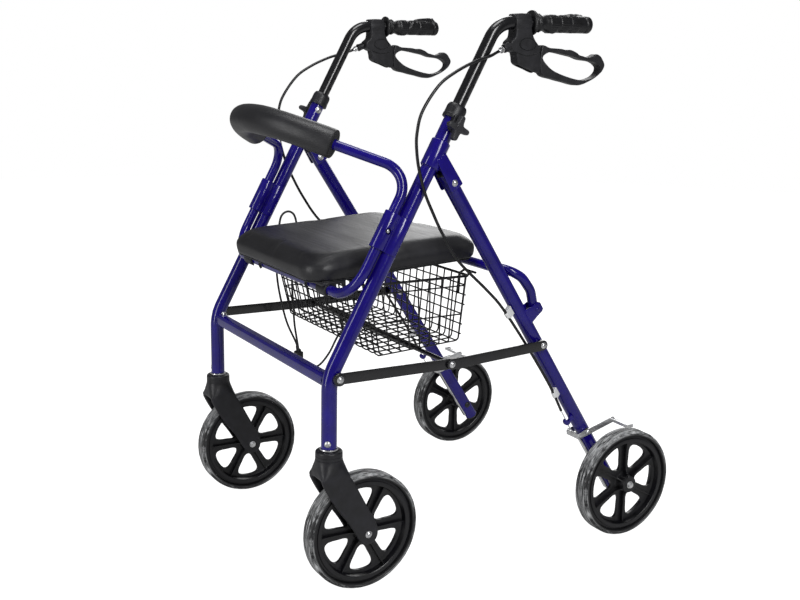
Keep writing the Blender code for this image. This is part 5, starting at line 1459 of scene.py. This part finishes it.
def inflated(obj, voxel, pressure, cap):
    """Blows a closed shape up as padded fabric, and lets no point move further than cap."""
    melt = obj.modifiers.new("remesh", "REMESH")
    melt.mode = "VOXEL"
    melt.voxel_size = voxel
    obj = baked(obj)
    before = np.empty(len(obj.data.vertices) * 3)
    obj.data.vertices.foreach_get("co", before)
    cloth = obj.modifiers.new("cloth", "CLOTH")
    cloth.settings.use_pressure = True
    cloth.settings.uniform_pressure_force = pressure
    cloth.settings.tension_stiffness = CLOTH_STIFFNESS
    cloth.settings.compression_stiffness = CLOTH_STIFFNESS
    cloth.settings.shear_stiffness = 8
    cloth.settings.bending_stiffness = 2.0
    cloth.settings.mass = 0.3
    cloth.settings.effector_weights.gravity = 0.0
    cloth.point_cache.frame_start = 1
    cloth.point_cache.frame_end = CLOTH_FRAMES
    for number in range(1, CLOTH_FRAMES + 1):
        bpy.context.scene.frame_set(number)
    obj = baked(obj)
    bpy.context.scene.frame_set(1)
    after = np.empty(len(obj.data.vertices) * 3)
    obj.data.vertices.foreach_get("co", after)
    if len(after) == len(before):
        move = (after - before).reshape(-1, 3)
        far = np.linalg.norm(move, axis=1, keepdims=True)
        move *= np.minimum(1.0, cap / np.maximum(far, 1e-9))
        obj.data.vertices.foreach_set("co", (before.reshape(-1, 3) + move).ravel())
    return smooth(obj, 180)


def seat_cushion():
    half_x, half_y = 0.1752, 0.1668
    low, high = CUSHION_LOW, CUSHION_HIGH
    levels = []
    for t in np.linspace(0.0, 1.0, 9):
        z = low + (high - low) * t
        bulge = math.sin(math.pi * min(1.0, 0.22 + t * 0.58))
        inset = 0.007 * (1 - bulge) + 0.017 * (max(0.0, t - 0.50) / 0.50) ** 2
        levels.append((outline_xy(half_x - inset, half_y - inset, 0.028), z))
    levels.append((outline_xy(half_x - 0.034, half_y - 0.034, 0.024), high + 0.0010))
    levels.append((outline_xy(half_x - 0.080, half_y - 0.080, 0.020), high + 0.0016))
    pad = inflated(lofted("seat_cushion", levels), 0.0050, 4.0, 0.0060)
    limit_x, limit_y = half_x + 0.0006, half_y + 0.0006
    bm = bmesh.new()
    bm.from_mesh(pad.data)
    for v in bm.verts:
        v.co.z = max(v.co.z, CUSHION_LOW)
        v.co.x = max(-limit_x, min(limit_x, v.co.x))
        v.co.y = SEAT_MID_Y + max(-limit_y, min(limit_y, v.co.y - SEAT_MID_Y))
        radial = Vector((v.co.x, v.co.y - SEAT_MID_Y))
        top = max(0.0, min(1.0, (v.co.z - 0.040) / 0.012))
        ripple = noise.noise(Vector((v.co.x * 9.0, v.co.y * 26.0, 0.3))) * 0.0006
        v.co.z += top * (ripple - 0.0010 * math.exp(-(radial.length / 0.11) ** 2))
    bm.to_mesh(pad.data)
    bm.free()
    fine = pad.modifiers.new("fine", "SUBSURF")
    fine.levels = fine.render_levels = 1
    pad = baked(pad)
    pad.data.transform(SEAT_PLACE)
    put(smooth(pad, 180), "seat", VINYL, "seat_pad")
    # the folded welt where the cover is stapled under the board
    edge = outline_xy(half_x - 0.0120, half_y - 0.0120, 0.020, 20)
    welt = tube("seat_welt", [[Vector((x, y, CUSHION_LOW)) for x, y in edge]], 0.0012, 16, cyclic=True)
    welt.data.transform(SEAT_PLACE)
    put(smooth(welt, 60), "seat", VINYL)


def seat_board():
    board = lofted("board", [(outline_xy(0.1600, 0.1510, 0.018), 0.0136),
                             (outline_xy(0.1606, 0.1516, 0.019), 0.0142),
                             (outline_xy(0.1606, 0.1516, 0.019), 0.0194),
                             (outline_xy(0.1600, 0.1510, 0.018), 0.0200)])
    board.data.transform(SEAT_PLACE)
    put(smooth(board, 35), "seat", BOARD, "seat_board")
    for word, side in SIDES.items():
        x = side * CLIP_X
        saddle = cylinder(f"seat_clip_{word}", (x - CLIP_HALF, 0, 0), (x + CLIP_HALF, 0, 0), 0.0122, 56,
                          0.0012)
        tab = box("tab", (x - CLIP_HALF, -0.0145, 0.0080), (x + CLIP_HALF, 0.028, 0.0138), 0.0014, 3)
        saddle = carve(saddle, [tab], "UNION")
        bore = cylinder("bore", (x - 0.05, 0, 0), (x + 0.05, 0, 0), SEAT_TUBE_R + 0.0003, 56)
        mouth = box("mouth", (x - 0.05, -0.0055, -0.03), (x + 0.05, 0.0055, 0.0))
        saddle = carve(saddle, [bore, mouth])
        saddle.data.transform(SEAT_PLACE)
        put(smooth(saddle, 35), "seat", SATIN)
        for k in range(2):
            spot = SEAT_PLACE @ Vector((x - 0.008 + 0.016 * k, 0.021, 0.0080))
            put(screw_head(f"clip_screw_{k}_{word}", spot, SEAT_PLACE.to_3x3() @ Vector((0, 0, -1)), 0.0028,
                           0.0016), "seat", ZINC)


# ---------------------------------------------------------------- basket
# half width, front y, rear y, front z and rear z of the floor, the knee and the rim
BASKET_LEVELS = ((0.1750, -0.1930, -0.0340, 0.3653, 0.3738), (0.1765, -0.2015, -0.0305, 0.3725, 0.3810),
                 (0.1830, -0.2300, -0.0220, 0.4940, 0.4940))
CROSS_WIRES, LONG_WIRES = 16, 9
MESH_WIRE_R, RIM_WIRE_R, HOOK_WIRE_R = 0.00135, 0.0023, 0.0021
OUTER_LAY, INNER_LAY = 0.0016, 0.0044      # how far inside the basket's walls the two layers of wire lie
HOOK_X, HOOK_R, STAY_X, STAY_WIDTH = 0.095, 0.0112, 0.150, 0.024


def basket_point(level, side, share):
    """A point of the basket's floor (0), knee (1) or rim (2): side -1 to 1, share 0 (front) to 1 (rear)."""
    low = BASKET_LEVELS[min(int(level), 1)]
    high = BASKET_LEVELS[min(int(level), 1) + 1]
    t = level - min(int(level), 1)
    half, front, rear, front_z, rear_z = (a + (b - a) * t for a, b in zip(low, high))
    return Vector((side * half, front + (rear - front) * share, front_z + (rear_z - front_z) * share))


def wall_level(z, share):
    """The level at which the basket's wall, at this share from the front, reaches a height."""
    knee, rim = basket_point(1, 0, share).z, basket_point(2, 0, share).z
    return 1 + (z - knee) / (rim - knee)


def basket_hoop(z, inset, radius):
    """A closed hoop inside the basket's walls, at one height, with rounded corners."""
    corners = []
    for side, share in ((1, 0), (1, 1), (-1, 1), (-1, 0)):
        corner = basket_point(wall_level(z, share), side, share)
        corners.append(corner + Vector((-side * inset, inset if share == 0 else -inset, 0)))
    start = (corners[3] + corners[0]) / 2
    return rounded([start] + corners + [start - Vector((0.001, 0, 0))], radius, 6)


def basket():
    """Bent wires: crosswise ones down the front and back, fore-and-aft ones down the sides, and hoops."""
    routes = []
    for i in range(CROSS_WIRES):
        s = -1 + 2 * (i + 0.5) / CROSS_WIRES
        lift = (OUTER_LAY, 0, 0)
        line = [basket_point(level, s, 0) + Vector((0, OUTER_LAY, lift[level])) for level in (2, 1, 0)]
        line += [basket_point(level, s, 1) + Vector((0, -OUTER_LAY, lift[level])) for level in (0, 1, 2)]
        routes.append(rounded(line, 0.005, 5))
    for i in range(LONG_WIRES):
        share = 0.04 + 0.92 * i / (LONG_WIRES - 1)
        line = []
        for side in (-1, 1):
            lift = (INNER_LAY, 0, 0)
            stops = [basket_point(level, side, share) + Vector((-side * INNER_LAY, 0, lift[level]))
                     for level in (2, 1, 0)]
            line += stops if side < 0 else list(reversed(stops))
        routes.append(rounded(line, 0.005, 5))
    for z in (0.3900, 0.4070, 0.4420, 0.4590):
        for share, shift in ((0, INNER_LAY), (1, -INNER_LAY)):
            level = wall_level(z, share)
            routes.append([basket_point(level, side, share) + Vector((0, shift, 0))
                           for side in (-0.985, 0.985)])
    wires = tube("basket_wires", routes, MESH_WIRE_R, 12)
    hoops = [basket_hoop(z, INNER_LAY, 0.006) for z in (0.4250, 0.4760)]
    loops = tube("basket_loops", hoops, MESH_WIRE_R, 12, cyclic=True)
    rim_route = basket_hoop(BASKET_LEVELS[2][3] - 0.0010, RIM_WIRE_R, 0.0065)
    rim = tube("basket_rim", [rim_route], RIM_WIRE_R, 16, cyclic=True)
    put(smooth(join(wires, loops, rim), 60), "basket", WIRE, "basket")
    # two hooks over the front seat tube and two stays up to the bail at the back
    for word, side in SIDES.items():
        share = side * 0.52
        circle = []
        for i in range(15):
            angle = math.radians(-60 + 285 * i / 14)
            circle.append(Vector((side * HOOK_X, SEAT_PIVOT.x + HOOK_R * math.cos(angle),
                                  SEAT_PIVOT.y + HOOK_R * math.sin(angle))))
        top, low = basket_point(2, share, 0), basket_point(1.84, share, 0)
        run = [low + Vector((0, 0.003, 0)), top + Vector((0, 0.0005, -0.001)),
               Vector((side * HOOK_X, -0.255, 0.4790))]
        put(tube(f"basket_hook_{word}", rounded(run + circle, 0.004, 3), HOOK_WIRE_R, 14), "basket", WIRE)
        x, rear = side * STAY_X, BASKET_LEVELS[2][2]
        far = x + side * STAY_WIDTH
        stay = [Vector((x, rear - 0.003, 0.4560)), Vector((x, rear - 0.001, 0.4930)),
                Vector((x, rear + 0.010, 0.4985)), Vector((x, rear + 0.0175, 0.4950)),
                Vector((far, rear + 0.0175, 0.4950)), Vector((far, rear + 0.008, 0.4985)),
                Vector((far, rear - 0.002, 0.4925))]
        put(tube(f"basket_stay_{word}", rounded(stay, 0.004, 5), HOOK_WIRE_R, 14), "basket", WIRE)


# ---------------------------------------------------------------- pull cord
CORD_R = 0.0021
STRAND_X = (-0.1975, -0.2045)


def strand(x, z):
    return (x, -0.1686 - (z - 0.2890) / 6, z)


CORD_ROUTE = [(LUG_X[0], LINK_MID.x, LINK_MID.y - LUG_DROP - 0.0014), (-0.1090, -0.1110, 0.3430),
              (-0.1190, -0.1220, 0.3270), (-0.1380, -0.1300, 0.2910), (-0.1600, -0.1400, 0.2620),
              (-0.1790, -0.1500, 0.2530), strand(STRAND_X[0], 0.2560), strand(STRAND_X[0], 0.2630),
              strand(STRAND_X[0], 0.2890), strand(STRAND_X[0], 0.3000), (-0.1985, -0.1765, 0.3400),
              (-0.1990, -0.1790, 0.3800), (-0.2000, -0.1810, 0.4300), (-0.2000, -0.1760, 0.4900),
              (-0.2000, -0.1710, 0.5310), (-0.2000, -0.1760, 0.5560), (-0.2000, -0.1892, 0.5640),
              (-0.2000, -0.2030, 0.5560), (-0.2000, -0.2090, 0.5310), (-0.2010, -0.2150, 0.4900),
              (-0.2020, -0.2110, 0.4300), (-0.2030, -0.2010, 0.3800), (-0.2040, -0.1890, 0.3400),
              strand(STRAND_X[1], 0.3000), strand(STRAND_X[1], 0.2890), strand(STRAND_X[1], 0.2630),
              strand(STRAND_X[1], 0.2560), (-0.1980, -0.1522, 0.2380), (-0.1780, -0.1303, 0.2262),
              (-0.1600, -0.1110, 0.2510), (-0.1460, -0.1005, 0.2900), (-0.1360, -0.1010, 0.3250),
              (-0.1300, -0.1050, 0.3460), (LUG_X[1], LINK_MID.x, LINK_MID.y - LUG_DROP - 0.0014)]


def pull_cord():
    route = smooth_route(CORD_ROUTE, 330)
    cord = tube("cord_run", route, CORD_R, 16)
    cord.data.materials.append(CORD)
    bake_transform(cord)
    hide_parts("pull_cord")
    centre = Vector((sum(STRAND_X) / 2, -0.1665, 0.2760))
    lock = box("lock_body", centre - Vector((0.0085, 0.0072, 0.0100)),
               centre + Vector((0.0085, 0.0072, 0.0072)), 0.0026, 4)
    bores = [cylinder(f"bore_{i}", strand(x, 0.2500), strand(x, 0.3000), CORD_R + 0.0003, 24)
             for i, x in enumerate(STRAND_X)]
    lock = smooth(carve(lock, bores), 40)
    put(lock, "links_front", SATIN, "cord_lock", slot="cord_lock")
    button = turned("lock_button", [(0, 0.0050), (0.0030, 0.0046), (0.0048, 0.0030), (0.0052, 0.0008),
                                    (0.0044, 0.0), (0.0044, -0.0026), (0, -0.0026)],
                    centre + Vector((0, 0, 0.0072)), (0, 0, 1), 40)
    put(smooth(button, 40), "links_front", BOARD, slot="cord_lock")


# ---------------------------------------------------------------- everything
for word, side in SIDES.items():
    front_leg(side, word)
    hinge_bracket(side, word)
    seat_clamp(side, word)
    height_collar(side, word)
    star_knob(side, word)
    handle_tube(side, word)
    grip(side, word)
    brake_housing(side, word)
    brake_lever(side, word)
    cable_adjuster(side, word)
    brake_cable(side, word)
    caster_fork(side, word)
    wheel(f"front_{word}", middle(f"front_rim_{word}"), f"front_wheel_{word}", f"front_rim_{word}",
          f"front_tyre_{word}", 0, 0.0170)
    rear_leg(side, word)
    wheel(f"rear_{word}", middle(f"rear_rim_{word}"), f"rear_wheel_{word}", f"rear_rim_{word}",
          f"rear_tyre_{word}", 30, 0.0210)
    brake_arm(side, word)
    fold_bars(side, word)

cross_tube()
seat_front_tube()
backrest()
seat_bail()
cross_rod()
seat_cushion()
seat_board()
basket()
pull_cord()
